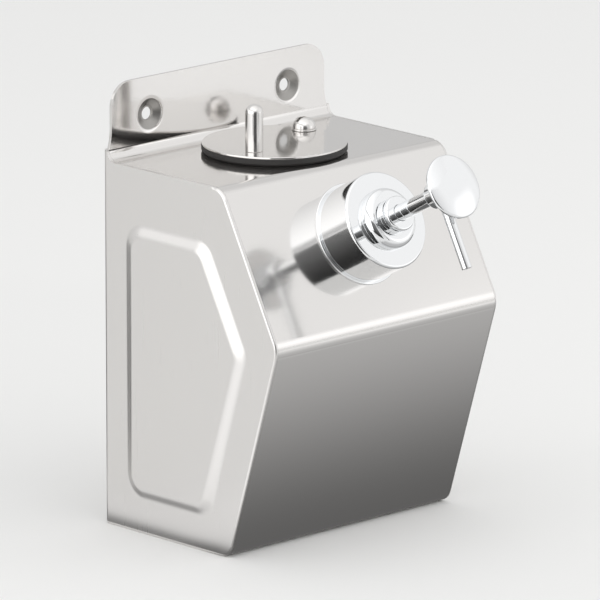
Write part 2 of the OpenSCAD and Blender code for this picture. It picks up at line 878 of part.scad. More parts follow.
// Return spring: one wire wound from the elbow's cap to the piston
module return_spring() {
  rings_per_turn = 8;
  sides = 6;
  count = coil_turns * rings_per_turn;
  rise = (spring_top - spring_foot) / count;
  r = wire_d / 2;
  section = [
    for (k = [0 : count])
      [for (i = [0 : sides - 1])
        let (a = 360 * k / rings_per_turn, b = 360 * i / sides, out = coil_d / 2 + r * cos(b))
        [out * cos(a), out * sin(a), spring_foot + k * rise + r * sin(b)]]
  ];
  echo(spring_gap = min([for (p = section[0], q = section[rings_per_turn]) norm(p - q)]));
  color(dark_steel)
    on_pump()
      polyhedron(
        points = [for (ring = section) each ring],
        faces = concat(
          [[for (i = [0 : sides - 1]) i]],
          [for (k = [0 : count - 1], i = [0 : sides - 1])
            each [
              [k * sides + i, (k + 1) * sides + i, (k + 1) * sides + (i + 1) % sides],
              [k * sides + i, (k + 1) * sides + (i + 1) % sides, k * sides + (i + 1) % sides]
            ]],
          [[for (i = [sides - 1 : -1 : 0]) count * sides + i]]
        )
      );
}

// Inlet elbow: a cap over the cylinder's end and an upright leg with the valve chamber and nipple
module inlet_elbow() {
  cap_mouth = -cylinder_depth + cap_grip;
  color(white_nylon)
    difference() {
      union() {
        on_pump()
          rod(cap_d, cap_end_k, cap_mouth);
        on_leg() {
          rod(leg_d, nipple_z, leg_z);
          rod(nipple_d, nipple_z - nipple_h, nipple_z + cut);
        }
      }
      on_pump() {
        rod(cylinder_d + 2 * fit_gap, cap_seal_k, cap_mouth + cut);
        rod(cap_port_d, leg_k, cap_seal_k + cut);
      }
      on_leg() {
        rod(chamber_d, valve_z, leg_z);
        rod(port_d, nipple_z - nipple_h - cut, valve_z + cut);
        translate([0, 0, stop_pin_z])
          rotate([0, 90, 0])
            cylinder(d = stop_pin_d + 2 * fit_gap, h = leg_d + 2 * cut, center = true);
      }
    }
}

module inlet_seal() {
  color(black_rubber)
    on_pump()
      tube(cylinder_d, cap_seal_bore_d, cap_seal_k, -cylinder_depth);
}

module inlet_ball() {
  color(polished)
    on_leg()
      translate([0, 0, inlet_ball_z])
        sphere(d = inlet_ball_d);
}

module ball_stop_pin() {
  color(dark_steel)
    on_leg()
      translate([0, 0, stop_pin_z])
        rotate([0, 90, 0])
          cylinder(d = stop_pin_d, h = leg_d, center = true);
}

module suction_tube() {
  color(clear_tube)
    on_leg()
      tube(tube_d, tube_bore_d, strainer_seat_z + weld_gap, nipple_z - weld_gap);
}

// Strainer cup on the tube's end, with slots round its foot
module suction_strainer() {
  mouth_z = strainer_seat_z + strainer_socket;
  color(white_nylon)
    on_leg()
      difference() {
        rod(strainer_d, strainer_z, mouth_z);
        rod(tube_d + 2 * fit_gap, strainer_seat_z, mouth_z + cut);
        rod(tube_bore_d, strainer_z + strainer_floor_t, mouth_z);
        for (k = [0 : strainer_slots - 1])
          rotate([0, 0, 360 * k / strainer_slots])
            translate([0, -strainer_slot_w / 2, strainer_z + strainer_floor_t])
              cube([strainer_d, strainer_slot_w, strainer_slot_h]);
      }
}

// Hollow stem, closed at the button and drilled across for the spout
module plunger_stem() {
  color(polished)
    on_pump()
      difference() {
        rod(stem_d, stem_foot, stem_top);
        rod(stem_bore_d, stem_foot - cut, spout_k + spout_d / 2);
        translate([0, 0, spout_k])
          rotate([90, 0, 0])
            rod(spout_bore_d, 0, stem_d);
      }
}

// Piston with its seal groove, the outlet valve chamber and the stem's socket
module piston() {
  r = bore_d / 2 - run_gap;
  groove = r - seal_groove_depth;
  seal_top = seal_foot + seal_w;
  nose = nose_d / 2;
  chamber = outlet_ball_d / 2 + flow_gap;
  socket = stem_d / 2 + fit_gap;
  port = nose_port_d / 2;
  color(dark_steel)
    on_pump()
      turned(
        [
          [port, nose_foot], [nose, nose_foot], [nose, piston_foot], [r, piston_foot],
          [r, seal_foot], [groove, seal_foot], [groove, seal_top], [r, seal_top],
          [r, piston_top], [socket, piston_top], [socket, stem_foot], [chamber, stem_foot],
          [chamber, outlet_seat], [port, outlet_seat]
        ],
        [0, nose_h / 5, 0, 0, 0, 0, 0, 0, 0, 0, 0, 0, 0, 0]
      );
}

module piston_seal() {
  inner = bore_d - 2 * (run_gap + seal_groove_depth - fit_gap);
  color(black_rubber)
    on_pump()
      tube(bore_d - run_gap, inner, seal_foot + weld_gap, seal_foot + seal_w - weld_gap);
}

module outlet_ball() {
  color(polished)
    on_pump()
      translate([0, 0, outlet_ball_k])
        sphere(d = outlet_ball_d);
}

// Hub fixed on the stem, drilled for the spout tube
module spout_hub() {
  r = hub_d / 2;
  bore = stem_d / 2 + fit_gap;
  color(polished)
    on_pump()
      difference() {
        turned(
          [[bore, hub_base], [r, hub_base], [r, hub_top], [bore, hub_top]],
          [0, hub_edge_r, 0, 0]
        );
        translate([0, 0, spout_k])
          rotate([90, 0, 0])
            rod(spout_d + 2 * fit_gap, 0, hub_d);
      }
}

module spout_tube() {
  start = stem_d / 2 + fit_gap;
  color(polished)
    on_pump()
      translate([0, 0, spout_k])
        rotate([90, 0, 0])
          tube(spout_d, spout_bore_d, start, spout_reach);
}

// Disc button with a crowned face and a boss on the stem's end
module push_button() {
  r = button_d / 2;
  boss = hub_d / 2;
  socket = stem_d / 2 + fit_gap;
  foot = hub_top + weld_gap;
  back = foot + button_boss_h;
  face = back + button_rim_t;
  crown_r = (r * r + button_crown * button_crown) / (2 * button_crown);
  crown = [
    for (k = [arc_steps - 1 : -1 : 0])
      let (x = r * k / arc_steps)
      [x, face + button_crown - crown_r + sqrt(crown_r * crown_r - x * x)]
  ];
  color(polished)
    on_pump()
      turned(
        concat(
          [[0, stem_top + weld_gap], [socket, stem_top + weld_gap], [socket, foot]],
          [[boss, foot], [boss, back], [r, back], [r, face]],
          crown
        ),
        concat([0, 0, 0, 0, 0, button_edge_r, button_edge_r], [for (p = crown) 0])
      );
}

front_wrap();
left_side_panel();
right_side_panel();
back_plate();
filler_lid();
lid_gasket();
lid_grip_pin();
lid_pivot_screw();
lid_pivot_washer();
lid_pivot_nut();
seat_ring();
pump_barrel();
gland_nut();
guide_collar();
stem_packing();
pump_cylinder();
inner_seal_washer();
lock_nut();
return_spring();
inlet_elbow();
inlet_seal();
inlet_ball();
ball_stop_pin();
suction_tube();
suction_strainer();
plunger_stem();
piston();
piston_seal();
outlet_ball();
spout_hub();
spout_tube();
push_button();
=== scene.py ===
import json
import math

import bmesh
import bpy
from mathutils import Matrix, Vector


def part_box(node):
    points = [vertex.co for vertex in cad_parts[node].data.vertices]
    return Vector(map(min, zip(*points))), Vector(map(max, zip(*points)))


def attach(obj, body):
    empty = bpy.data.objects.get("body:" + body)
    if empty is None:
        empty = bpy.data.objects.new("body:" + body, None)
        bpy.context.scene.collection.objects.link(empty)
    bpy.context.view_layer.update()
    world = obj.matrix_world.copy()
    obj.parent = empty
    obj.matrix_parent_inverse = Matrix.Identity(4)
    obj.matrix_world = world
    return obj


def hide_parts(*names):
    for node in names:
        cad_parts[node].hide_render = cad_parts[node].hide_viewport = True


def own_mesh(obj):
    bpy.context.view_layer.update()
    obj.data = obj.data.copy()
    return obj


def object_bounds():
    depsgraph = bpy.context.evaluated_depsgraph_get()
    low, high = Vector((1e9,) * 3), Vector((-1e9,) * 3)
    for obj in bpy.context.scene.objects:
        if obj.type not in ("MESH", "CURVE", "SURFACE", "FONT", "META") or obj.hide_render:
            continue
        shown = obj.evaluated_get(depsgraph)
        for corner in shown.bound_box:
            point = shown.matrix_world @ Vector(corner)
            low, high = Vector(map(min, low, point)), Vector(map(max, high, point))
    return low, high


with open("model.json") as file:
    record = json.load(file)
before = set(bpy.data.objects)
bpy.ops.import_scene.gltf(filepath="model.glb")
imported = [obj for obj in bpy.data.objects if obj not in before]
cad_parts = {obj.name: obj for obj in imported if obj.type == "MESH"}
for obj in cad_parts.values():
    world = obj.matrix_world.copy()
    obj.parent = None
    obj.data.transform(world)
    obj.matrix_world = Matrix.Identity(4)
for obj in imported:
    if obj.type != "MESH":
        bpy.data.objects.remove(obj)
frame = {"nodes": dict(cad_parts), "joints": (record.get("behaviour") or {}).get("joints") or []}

bl_info = {
    "name": "Wall soap dispenser",
    "version": (1, 0, 0),
    "blender": (4, 5, 0),
    "location": "View3D > Sidebar > Dispenser",
    "description": "Models a wall soap dispenser's sheet metal, lid and push pump over its packed frame",
    "category": "Add Mesh",
}

MM = 0.001
# Vertices closer than this are one point
MERGE = 0.004 * MM
# Vertices that a cut makes lie closer than this to their place
SLACK = 0.02 * MM
# Straight steps in each bend of the sheet, round each turned piece and across a dome
BEND_STEPS = 10
TURN_STEPS = 96
DOME_STEPS = 12
# Share of the radius that the rounding of a domed end takes
DOME = 0.9
# Overshoot of a cutting tool
CUT = 2 * MM
# Edges sharper than this stay crisp when a piece is shaded smooth
CRISP_ANGLE = math.radians(38)
# A face looks along an axis where its normal's share is over the first, and across it under the second
ALONG = 0.9
ACROSS = 0.1

# The frame's box before anything is modelled, and the axes that the joints give
CAD_BOX = [list(corner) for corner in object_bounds()]
JOINTS = {joint["name"]: joint for joint in frame["joints"]}
PUMP_AXIS = -Vector(JOINTS["pump_push"]["axis"]).normalized()
PIVOT = Vector(JOINTS["lid_swing"]["pos_m"])


def span(node, axis):
    """Lowest and highest reach of a node along an axis, from the frame's origin."""
    reach = [vertex.co.dot(axis) for vertex in frame["nodes"][node].data.vertices]
    return min(reach), max(reach)


def middle(node):
    """Centre of a node's box."""
    low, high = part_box(node)
    return (low + high) / 2


def half_width(node):
    """Half of a node's width, which is the radius of a turned piece whose axis runs across x."""
    low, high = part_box(node)
    return (high.x - low.x) / 2


# The pump's axis as a seat: its own z runs out of the slope, with zero on the slope's face
RIGHT = Vector((1, 0, 0))
SLOPE_UP = PUMP_AXIS.cross(RIGHT)
RING_CENTRE = middle("seat_ring")
PUMP_FOOT = RING_CENTRE + PUMP_AXIS * (span("seat_ring", PUMP_AXIS)[0] - RING_CENTRE.dot(PUMP_AXIS))
PUMP_SEAT = Matrix.Translation(PUMP_FOOT) @ Matrix((RIGHT, SLOPE_UP, PUMP_AXIS)).transposed().to_4x4()


def pump_levels(node):
    """Levels of a node's two ends along the pump's axis, from the slope's face."""
    low, high = span(node, PUMP_AXIS)
    return low - PUMP_FOOT.dot(PUMP_AXIS), high - PUMP_FOOT.dot(PUMP_AXIS)


def linear(code):
    """The linear colour of an sRGB hex value."""
    parts = [int(code[i:i + 2], 16) / 255 for i in (1, 3, 5)]
    return (*[c / 12.92 if c <= 0.04045 else ((c + 0.055) / 1.055) ** 2.4 for c in parts], 1.0)


def length(mm, name, description):
    """A length property whose default is given in millimetres."""
    return bpy.props.FloatProperty(
        name=name, description=description, default=mm * MM, unit="LENGTH", subtype="DISTANCE"
    )


def colour(code, name, description):
    """A colour property whose default is given as an sRGB hex value."""
    return bpy.props.FloatVectorProperty(
        name=name, description=description, default=linear(code), size=4, min=0, max=1, subtype="COLOR"
    )


def brightness(level, name, description):
    """A brightness property; white paper in full light is 1."""
    return bpy.props.FloatProperty(name=name, description=description, default=level, min=0)


class TankSizes(bpy.types.PropertyGroup):
    """Sizes of the folded tank"""

    width: length(110, "Width", "Width over the flat of the side panels")
    height: length(134.5, "Height", "Height of the top face above the bottom")
    screw_line: length(14.1, "Screw line", "Height of the wall screws above the top face")
    base_depth: length(66, "Base depth", "Depth of the bottom from the wall")
    fold_depth: length(91, "Fold depth", "Depth at the fold between the slope and the front")
    fold_height: length(80.5, "Fold height", "Height of that fold above the bottom")
    top_depth: length(62.3, "Top depth", "Depth of the top face from the wall")
    sheet: length(1.2, "Sheet", "Thickness of the steel sheet")
    top_bend: length(7, "Top bend", "Bend radius between the top and the slope")
    fold_bend: length(9, "Fold bend", "Bend radius between the slope and the front")
    base_bend: length(6, "Base bend", "Bend radius between the front and the bottom")
    heel_bend: length(3.5, "Heel bend", "Bend radius between the bottom and the rear lip")
    lip: length(12, "Rear lip", "Height of the rear lip")
    rear_bend: length(2.2, "Rear bend", "Bend radius of the upright rear edges")
    rear_return: length(12.5, "Rear return", "Width that each side folds onto the back")
    weld_edge: length(0.96, "Weld edge", "Rounding of the ground and polished corner welds")
    weld_end: length(1.2, "Weld end", "Distance of that rounding's ends from the bends at the back")
    weld_gap: length(0.05, "Weld gap", "Gap between sheets at a weld")


class FlangeSizes(bpy.types.PropertyGroup):
    """Sizes of the wall flange"""

    width: length(105, "Width", "Width of the flange")
    height: length(27.9, "Height", "Height of the flange above the top face")
    corner: length(9, "Corner", "Radius of the upper corners")
    flare: length(24, "Flare", "Radius of the flare at the foot")
    bend: length(4, "Bend", "Radius of the bend between the flange and the top")
    edge: length(0.3, "Edge", "Rounding of the flange's deburred edges")
    screw_spacing: length(68, "Screw spacing", "Distance between the wall screws")
    screw_hole: length(4.6, "Screw hole", "Diameter of the screw holes")
    dimple: length(11.8, "Dimple", "Diameter of the pressed dimple round each hole")
    dimple_rim: length(0.9, "Dimple rim", "Rounding of the dimple's rim")
    dimple_seat: length(5.8, "Dimple seat", "Diameter of the flat seat in the dimple")
    dimple_seat_sheet: length(0.6, "Dimple seat sheet", "Thickness of that seat")
    dimple_foot: length(0.3, "Dimple foot", "Rounding at the foot of the dimple's wall")
    dimple_back: length(0.2, "Dimple back", "How far the seat is wider at its back, on the radius")


class PressingSizes(bpy.types.PropertyGroup):
    """Sizes of the pentagon pressed into each side"""

    height: length(1.9, "Height", "How far the pressing stands out")
    run: length(5.4, "Bevel", "Width of the soft bevel")
    corner: length(7, "Corner", "Corner radius at the middle of the bevel")
    rear: length(14.8, "Rear", "Distance of the bevel from the wall")
    bottom: length(15, "Bottom", "Distance of the bevel from the bottom")
    front: length(15.3, "Front", "Distance of the bevel from the front")
    slope: length(18, "Slope", "Distance of the bevel from the slope")
    top: length(22.5, "Top", "Distance of the bevel from the top")
    steps: bpy.props.IntProperty(name="Steps", description="Steps across the bevel", default=12, min=4)


class LidSizes(bpy.types.PropertyGroup):
    """Sizes of the filler lid and its pivot"""

    edge: length(0.25, "Lid edge", "Rounding of the lid's polished edge")
    filler: length(32, "Filler hole", "Diameter of the filler hole")
    gasket_bore: length(35, "Gasket bore", "Bore of the gasket")
    gasket_edge: length(0.3, "Gasket edge", "Rounding of the gasket's moulded edge")
    gasket_bevel: length(0.9, "Gasket bevel", "Bevel under the gasket's rim, clear of the flange's bend")
    gasket_room: length(0.4, "Gasket room", "Room round the pivot's shoulder in the gasket")
    pivot_shank: length(4, "Pivot shank", "Diameter of the pivot screw's shank")
    pivot_shoulder: length(5.2, "Pivot shoulder", "Diameter of the shoulder that the lid turns on")
    pivot_slot: length(1.2, "Slot width", "Width of the slot in the screw's head")
    pivot_slot_depth: length(1.4, "Slot depth", "Depth of the slot in the screw's head")
    pivot_point: length(0.5, "Pivot point", "Rounding of the lower end of the screw's shank")
    pivot_edge: length(0.15, "Pivot edge", "Rounding of the lower edge of the screw's head")
    washer_edge: length(0.12, "Washer edge", "Rounding of the washer's outer edges")
    washer_fit: length(0.04, "Washer fit", "Clearance of the washer round the shoulder, on the radius")
    grip_tail: length(3.6, "Grip tail", "Diameter of the pin's tail, riveted in the lid")
    grip_tail_edge: length(0.1, "Grip tail edge", "Rounding of the tail's lower end")
    grip_edge: length(0.2, "Grip edge", "Rounding of the pin's foot on the lid")
    clearance: length(0.06, "Clearance", "Room round the screw and the tail in the lid")


class PumpSizes(bpy.types.PropertyGroup):
    """Sizes of the turned pump pieces that the frame's boxes don't give"""

    hole: length(21.6, "Pump hole", "Diameter of the hole in the slope")
    seat_edge: length(0.35, "Seat edge", "Rounding of the seat ring's outer edge")
    seat_foot: length(0.1, "Seat foot", "Rounding of the seat ring's lower edge, on the slope")
    barrel_wall: length(1.5, "Barrel wall", "Wall of the barrel")
    barrel_face: length(2, "Barrel face", "Thickness of the barrel's face")
    barrel_bore: length(16.08, "Barrel bore", "Hole in the barrel's face")
    barrel_rim: length(1, "Barrel rim", "Rounding of the barrel's rim")
    gland_spigot: length(6.8, "Gland spigot", "Length of the gland nut's spigot")
    gland_dome: length(3, "Gland dome", "Radius of the gland nut's dome")
    gland_cup: length(9.08, "Gland cup", "Bore of the gland nut round the packing")
    collar_height: length(4, "Collar height", "Height of the guide collar above the gland nut")
    collar_spigot: length(9, "Collar spigot", "Diameter of the collar's spigot")
    collar_groove: length(11.4, "Collar groove", "Diameter of the groove in the collar")
    collar_groove_width: length(0.8, "Groove width", "Width of the groove in the collar")
    collar_edge: length(0.8, "Collar edge", "Rounding of the collar's outer edge")
    stem_bore: length(3, "Stem bore", "Bore of the stem")
    hub_edge: length(1.2, "Hub edge", "Rounding of the hub's lower edge")
    spout_bore: length(2.2, "Spout bore", "Bore of the spout tube")
    spout_rise: length(4.2, "Spout rise", "Height of the spout above the hub's lower end")
    button_boss: length(3, "Button boss", "Length of the boss behind the button")
    button_rim: length(1.4, "Button rim", "Thickness of the button at its rim")
    button_edge: length(0.5, "Button edge", "Rounding of the button's edge")
    boss_root: length(0.4, "Boss root", "Rounding between the boss and the button's back")
    socket_room: length(0.05, "Socket room", "Room above the stem in the button's socket")
    fine_edge: length(0.12, "Fine edge", "Rounding of the barrel's foot and of the collar's groove")
    small_edge: length(0.15, "Small edge", "Rounding of the nut's, collar's, hub's and boss's deburred edges")
    bore_edge: length(0.2, "Bore edge", "Rounding of the collar's bore, the stem's ends and the spout's tip")
    fit: length(0.04, "Fit", "Clearance round fixed pieces, on the radius")
    run: length(0.06, "Running fit", "Clearance round the stem, on the radius")
    wire: length(1.2, "Spring wire", "Wire of the return spring")
    coil_turns: bpy.props.IntProperty(
        name="Coil turns", description="Turns of the return spring", default=8, min=3
    )


class FinishColours(bpy.types.PropertyGroup):
    """Colours of the finishes"""

    sheet_steel: colour("#dfdddb", "Sheet steel", "Polished stainless sheet of the tank")
    bright_steel: colour("#dedcda", "Bright steel", "Mirror-polished stainless of the lid, pin and screw")
    # Darker than the sheet: painted shade in the dimples' hollow cups, over their duller finish
    shaded_dimple_steel: colour("#a3a19e", "Dull steel", "Unpolished stainless in the dimples")
    chrome: colour("#ecedee", "Chrome", "Bright chrome plate of the pump")
    rubber: colour("#242221", "Rubber", "Black nitrile rubber of the gasket and seals")
    brass: colour("#b99652", "Brass", "Turned brass inside the tank")
    nylon: colour("#e6e2d6", "Nylon", "Natural nylon of the inlet pieces")
    floor: colour("#f0f0ef", "Floor", "Pale paper floor")


class StageSettings(bpy.types.PropertyGroup):
    """Camera and light of the studio"""

    azimuth: bpy.props.FloatProperty(
        name="Azimuth", description="Camera's turn from the front; a minus is to the left",
        default=math.radians(-43.53), unit="ROTATION", subtype="ANGLE"
    )
    elevation: bpy.props.FloatProperty(
        name="Elevation", description="Camera's height over the horizon",
        default=math.radians(14.17), unit="ROTATION", subtype="ANGLE"
    )
    distance: length(2967.5, "Distance", "Camera's distance from the point that it looks at")
    aim: bpy.props.FloatVectorProperty(
        name="Aim", description="Point that the camera looks at",
        default=(-0.16 * MM, -45 * MM, -67 * MM), size=3, unit="LENGTH", subtype="TRANSLATION"
    )
    lens: bpy.props.FloatProperty(
        name="Lens", description="Focal length on a 36 mm sensor, in millimetres", default=494.5, min=50
    )
    top_light: brightness(0.38, "Top light", "Brightness of the overhead softbox")
    right_light: brightness(0.24, "Right light", "Brightness of the large softbox at the front right")
    walls: brightness(0.8, "Walls", "Brightness of the studio's pale walls")


def at_angle(vector, other, share):
    """A vector turned part of the way to another of the same length."""
    return vector.normalized().slerp(other.normalized(), share) * vector.length


def rounded(corners, radii):
    """Points of an outline with an arc of the given radius at each corner."""
    points = []
    for i, (corner, radius) in enumerate(zip(corners, radii)):
        if radius == 0:
            points.append(corner)
            continue
        back = (corners[i - 1] - corner).normalized()
        ahead = (corners[(i + 1) % len(corners)] - corner).normalized()
        half = back.angle(ahead) / 2
        centre = corner + (back + ahead).normalized() * radius / math.sin(half)
        start = corner + back * radius / math.tan(half) - centre
        end = corner + ahead * radius / math.tan(half) - centre
        points += [centre + at_angle(start, end, k / BEND_STEPS) for k in range(BEND_STEPS + 1)]
    return points


def inset(corners, margins):
    """Corners of an outline moved inwards; each edge, from its corner to the next, has its own margin."""
    moved = []
    for i, corner in enumerate(corners):
        first = (corner - corners[i - 1]).normalized()
        second = (corners[(i + 1) % len(corners)] - corner).normalized()
        left = (Vector((-first.y, first.x)), Vector((-second.y, second.x)))
        m1, m2 = margins[i - 1], margins[i]
        cross = left[0].x * left[1].y - left[0].y * left[1].x
        step = Vector((m1 * left[1].y - m2 * left[0].y, m2 * left[0].x - m1 * left[1].x))
        moved.append(corner + step / cross)
    return moved


def begin(name, add, **settings):
    """Adds a primitive under the piece's name and opens it in edit mode, with nothing else selected."""
    bpy.ops.object.select_all(action="DESELECT")
    bpy.context.tool_settings.mesh_select_mode = (True, False, False)
    add(enter_editmode=True, **settings)
    piece = bpy.context.object
    piece.name = name
    return piece


def pick(piece):
    """Makes a piece the only selected one, and the active one."""
    bpy.ops.object.select_all(action="DESELECT")
    piece.select_set(True)
    bpy.context.view_layer.objects.active = piece


def reopen(piece):
    """Opens a piece in edit mode, with nothing else selected."""
    pick(piece)
    bpy.ops.object.mode_set(mode="EDIT")


def close_piece():
    """Leaves edit mode."""
    bpy.ops.object.mode_set(mode="OBJECT")


def select(piece, kind, test):
    """Selects the verts, edges or faces of the open piece that pass a test."""
    bpy.ops.mesh.select_mode(type={"verts": "VERT", "edges": "EDGE", "faces": "FACE"}[kind])
    bpy.ops.mesh.select_all(action="DESELECT")
    mesh = bmesh.from_edit_mesh(piece.data)
    mesh.normal_update()
    found = [element for element in getattr(mesh, kind) if test(element)]
    if not found:
        raise RuntimeError(f"{piece.name} has no {kind} at the place given")
    for element in found:
        element.select_set(True)
    bmesh.update_edit_mesh(piece.data)


def near(value, place):
    """True where a coordinate lies at a place."""
    return abs(value - place) < MERGE


def close_skin():
    """Merges the open piece's doubles and turns its faces outwards."""
    bpy.ops.mesh.select_all(action="SELECT")
    bpy.ops.mesh.remove_doubles(threshold=MERGE)
    bpy.ops.mesh.normals_make_consistent(inside=False)


def apply_modifier(piece, kind, **settings):
    """Adds a modifier to a piece and applies it."""
    pick(piece)
    modifier = piece.modifiers.new(kind, kind)
    for name, value in settings.items():
        setattr(modifier, name, value)
    bpy.ops.object.modifier_apply(modifier=modifier.name)


def cut(piece, tool):
    """Cuts the shape of a tool out of a piece, and removes the tool."""
    apply_modifier(piece, "BOOLEAN", object=tool, operation="DIFFERENCE", solver="EXACT")
    bpy.data.objects.remove(tool)


def join(piece, other):
    """Joins another piece into a piece."""
    pick(piece)
    other.select_set(True)
    bpy.ops.object.join()


def trace(name, points):
    """Draws a closed outline by extruding a vertex from point to point, and leaves it open in edit mode."""
    piece = begin(name, bpy.ops.mesh.primitive_plane_add, size=MM)
    bpy.ops.mesh.merge(type="CENTER")
    bpy.ops.transform.translate(value=points[0])
    for last, following in zip(points, points[1:]):
        bpy.ops.mesh.extrude_vertices_move(TRANSFORM_OT_translate={"value": following - last})
    ends = (points[0], points[-1])
    select(piece, "verts", lambda vert: any((vert.co - end).length < MERGE for end in ends))
    bpy.ops.mesh.edge_face_add()
    return piece


def block(name, points, depth):
    """A solid whose outline is filled and extruded by a vector."""
    piece = trace(name, points)
    bpy.ops.mesh.select_all(action="SELECT")
    bpy.ops.mesh.edge_face_add()
    bpy.ops.mesh.extrude_region_move(TRANSFORM_OT_translate={"value": depth})
    close_skin()
    close_piece()
    return piece


def on_ring(edge, corner):
    """True on an edge of the ring that a corner of a turned outline makes."""
    return all(near(vert.co.xy.length, corner[0]) and near(vert.co.z, corner[1]) for vert in edge.verts)


def is_corner(edge, axis):
    """True on an edge between a face that looks along an axis and one that looks across it."""
    if len(edge.link_faces) != 2:
        return False
    facing = sorted(abs(getattr(face.normal, axis)) for face in edge.link_faces)
    return facing[0] < ACROSS and facing[1] > ALONG


def turn(name, outline, seat, capped=False, steps=TURN_STEPS, rounding_steps=5):
    """Turns a piece: a circle is extruded along an outline of radius, level and rounding at each corner.

    A capped piece has flat ends; any other outline closes on itself, as a ring's or a tube's does."""
    piece = begin(name, bpy.ops.mesh.primitive_circle_add, vertices=steps, radius=outline[0][0])
    bpy.ops.transform.translate(value=(0, 0, outline[0][1]))
    path = outline if capped else [*outline, outline[0]]
    for last, following in zip(path, path[1:]):
        bpy.ops.mesh.extrude_region_move(TRANSFORM_OT_translate={"value": (0, 0, following[1] - last[1])})
        share = following[0] / last[0]
        bpy.ops.transform.resize(value=(share, share, 1))

    if capped:
        for end in (outline[0], outline[-1]):
            select(piece, "edges", lambda edge: on_ring(edge, end))
            bpy.ops.mesh.edge_face_add()
    close_skin()
    for rounding in sorted({corner[2] for corner in outline if corner[2]}):
        rings = [corner for corner in outline if corner[2] == rounding]
        select(piece, "edges", lambda edge: any(on_ring(edge, ring) for ring in rings))
        bpy.ops.mesh.bevel(
            offset=rounding, segments=rounding_steps, profile=0.5, affect="EDGES", clamp_overlap=False
        )
    close_skin()
    close_piece()
    place(piece, seat)
    return piece


def place(piece, seat):
    """Sets a piece on its seat, with the place in its mesh."""
    pick(piece)
    piece.matrix_world = seat
    bpy.ops.object.transform_apply(location=True, rotation=True, scale=True)


def drill(piece, seat, radius, low, high, steps=TURN_STEPS):
    """Drills a round hole along a seat's z, from under one level to over another."""
    outline = [(radius, low - CUT, 0), (radius, high + CUT, 0)]
    cut(piece, turn("drill", outline, seat, capped=True, steps=steps))


def hand_over(piece, material, body, node):
    """Shades a finished piece, gives it its finish and puts it on its body in place of its node."""
    pick(piece)
    bpy.ops.object.shade_smooth_by_angle(angle=CRISP_ANGLE)
    apply_modifier(piece, "WEIGHTED_NORMAL", mode="FACE_AREA", keep_sharp=True)
    piece.data.materials.clear()
    piece.data.materials.append(material)
    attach(piece, body)
    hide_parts(node)


def add_node(tree, kind, sockets=None, links=None, **settings):
    """Adds a shader node with its settings, the values of its sockets and the links that feed it."""
    made = tree.nodes.new(kind)
    for name, value in settings.items():
        setattr(made, name, value)
    for name, value in (sockets or {}).items():
        made.inputs[name].default_value = value
    for name, (source, output) in (links or {}).items():
        tree.links.new(source.outputs[output], made.inputs[name])
    return made


def new_material(name):
    """A new material, its emptied node tree and a node with the piece's own coordinates."""
    material = bpy.data.materials.new(name)
    material.use_nodes = True
    tree = material.node_tree
    tree.nodes.clear()
    return material, tree, add_node(tree, "ShaderNodeTexCoord")


def finish_material(tree, sockets, links):
    """Ends a material in one Principled shader."""
    shader = add_node(tree, "ShaderNodeBsdfPrincipled", sockets, links)
    add_node(tree, "ShaderNodeOutputMaterial", links={"Surface": (shader, "BSDF")})


def stainless_sheet(name, colours, along, gloss_range):
    """Rolled stainless sheet: faint lines run along the way it was finished, and the sheet waves a little."""
    material, tree, coords = new_material(name)
    # The real lines are about 0.1 mm wide; they are drawn coarser, because those wouldn't show
    line_mm, streak_mm, wave_mm = 0.7, 45, 38
    stretched = add_node(
        tree, "ShaderNodeMapping",
        {"Scale": [1 / (streak_mm if axis == along else line_mm) / MM for axis in "XYZ"]},
        {"Vector": (coords, "Object")}
    )
    lines = add_node(
        tree, "ShaderNodeTexNoise", {"Scale": 1.0, "Detail": 3.0, "Roughness": 0.6},
        {"Vector": (stretched, "Vector")}
    )
    waves = add_node(
        tree, "ShaderNodeTexNoise", {"Scale": 1 / wave_mm / MM, "Detail": 1.0}, {"Vector": (coords, "Object")}
    )
    gloss = add_node(
        tree, "ShaderNodeMapRange", {"To Min": gloss_range[0], "To Max": gloss_range[1]},
        {"Value": (lines, "Fac")}
    )
    swell = add_node(
        tree, "ShaderNodeBump", {"Strength": 1.0, "Distance": 0.03 * MM}, {"Height": (waves, "Fac")}
    )
    grain = add_node(
        tree, "ShaderNodeBump", {"Strength": 0.25, "Distance": 0.01 * MM},
        {"Height": (lines, "Fac"), "Normal": (swell, "Normal")}
    )
    finish_material(
        tree, {"Base Color": colours.sheet_steel, "Metallic": 1.0},
        {"Roughness": (gloss, "Result"), "Normal": (grain, "Normal")}
    )
    return material


def polished_stainless_sheet(colours):
    """The wrap's sheet, rolled bright and buffed after welding: it mirrors what is round it softly."""
    return stainless_sheet("polished_stainless_sheet", colours, along="X", gloss_range=(0.08, 0.13))


def satin_stainless_sheet(colours):
    """The sides' sheet, finished on a fine belt after pressing: images blur into soft bands of light."""
    return stainless_sheet("satin_stainless_sheet", colours, along="Z", gloss_range=(0.25, 0.33))


def clouded(name, look, patch_mm, detail, gloss_range):
    """A finish of one colour whose gloss varies in soft patches."""
    material, tree, coords = new_material(name)
    patches = add_node(
        tree, "ShaderNodeTexNoise", {"Scale": 1 / patch_mm / MM, "Detail": detail},
        {"Vector": (coords, "Object")}
    )
    gloss = add_node(
        tree, "ShaderNodeMapRange", {"To Min": gloss_range[0], "To Max": gloss_range[1]},
        {"Value": (patches, "Fac")}
    )
    finish_material(tree, look, {"Roughness": (gloss, "Result")})
    return material


def unpolished_stainless(colours):
    """Stainless in the pressed dimples, which no wheel reaches: soft and a little scuffed, with a darker grey
    that is painted shade in the hollow cups.
    """
    look = {"Base Color": colours.shaded_dimple_steel, "Metallic": 1.0}
    return clouded("unpolished_stainless", look, patch_mm=1.5, detail=3.0, gloss_range=(0.28, 0.42))


def mirror_stainless(colours):
    """Stainless buffed to a mirror: clean images with a slight haze."""
    look = {"Base Color": colours.bright_steel, "Metallic": 1.0}
    return clouded("mirror_stainless", look, patch_mm=6, detail=4.0, gloss_range=(0.06, 0.13))


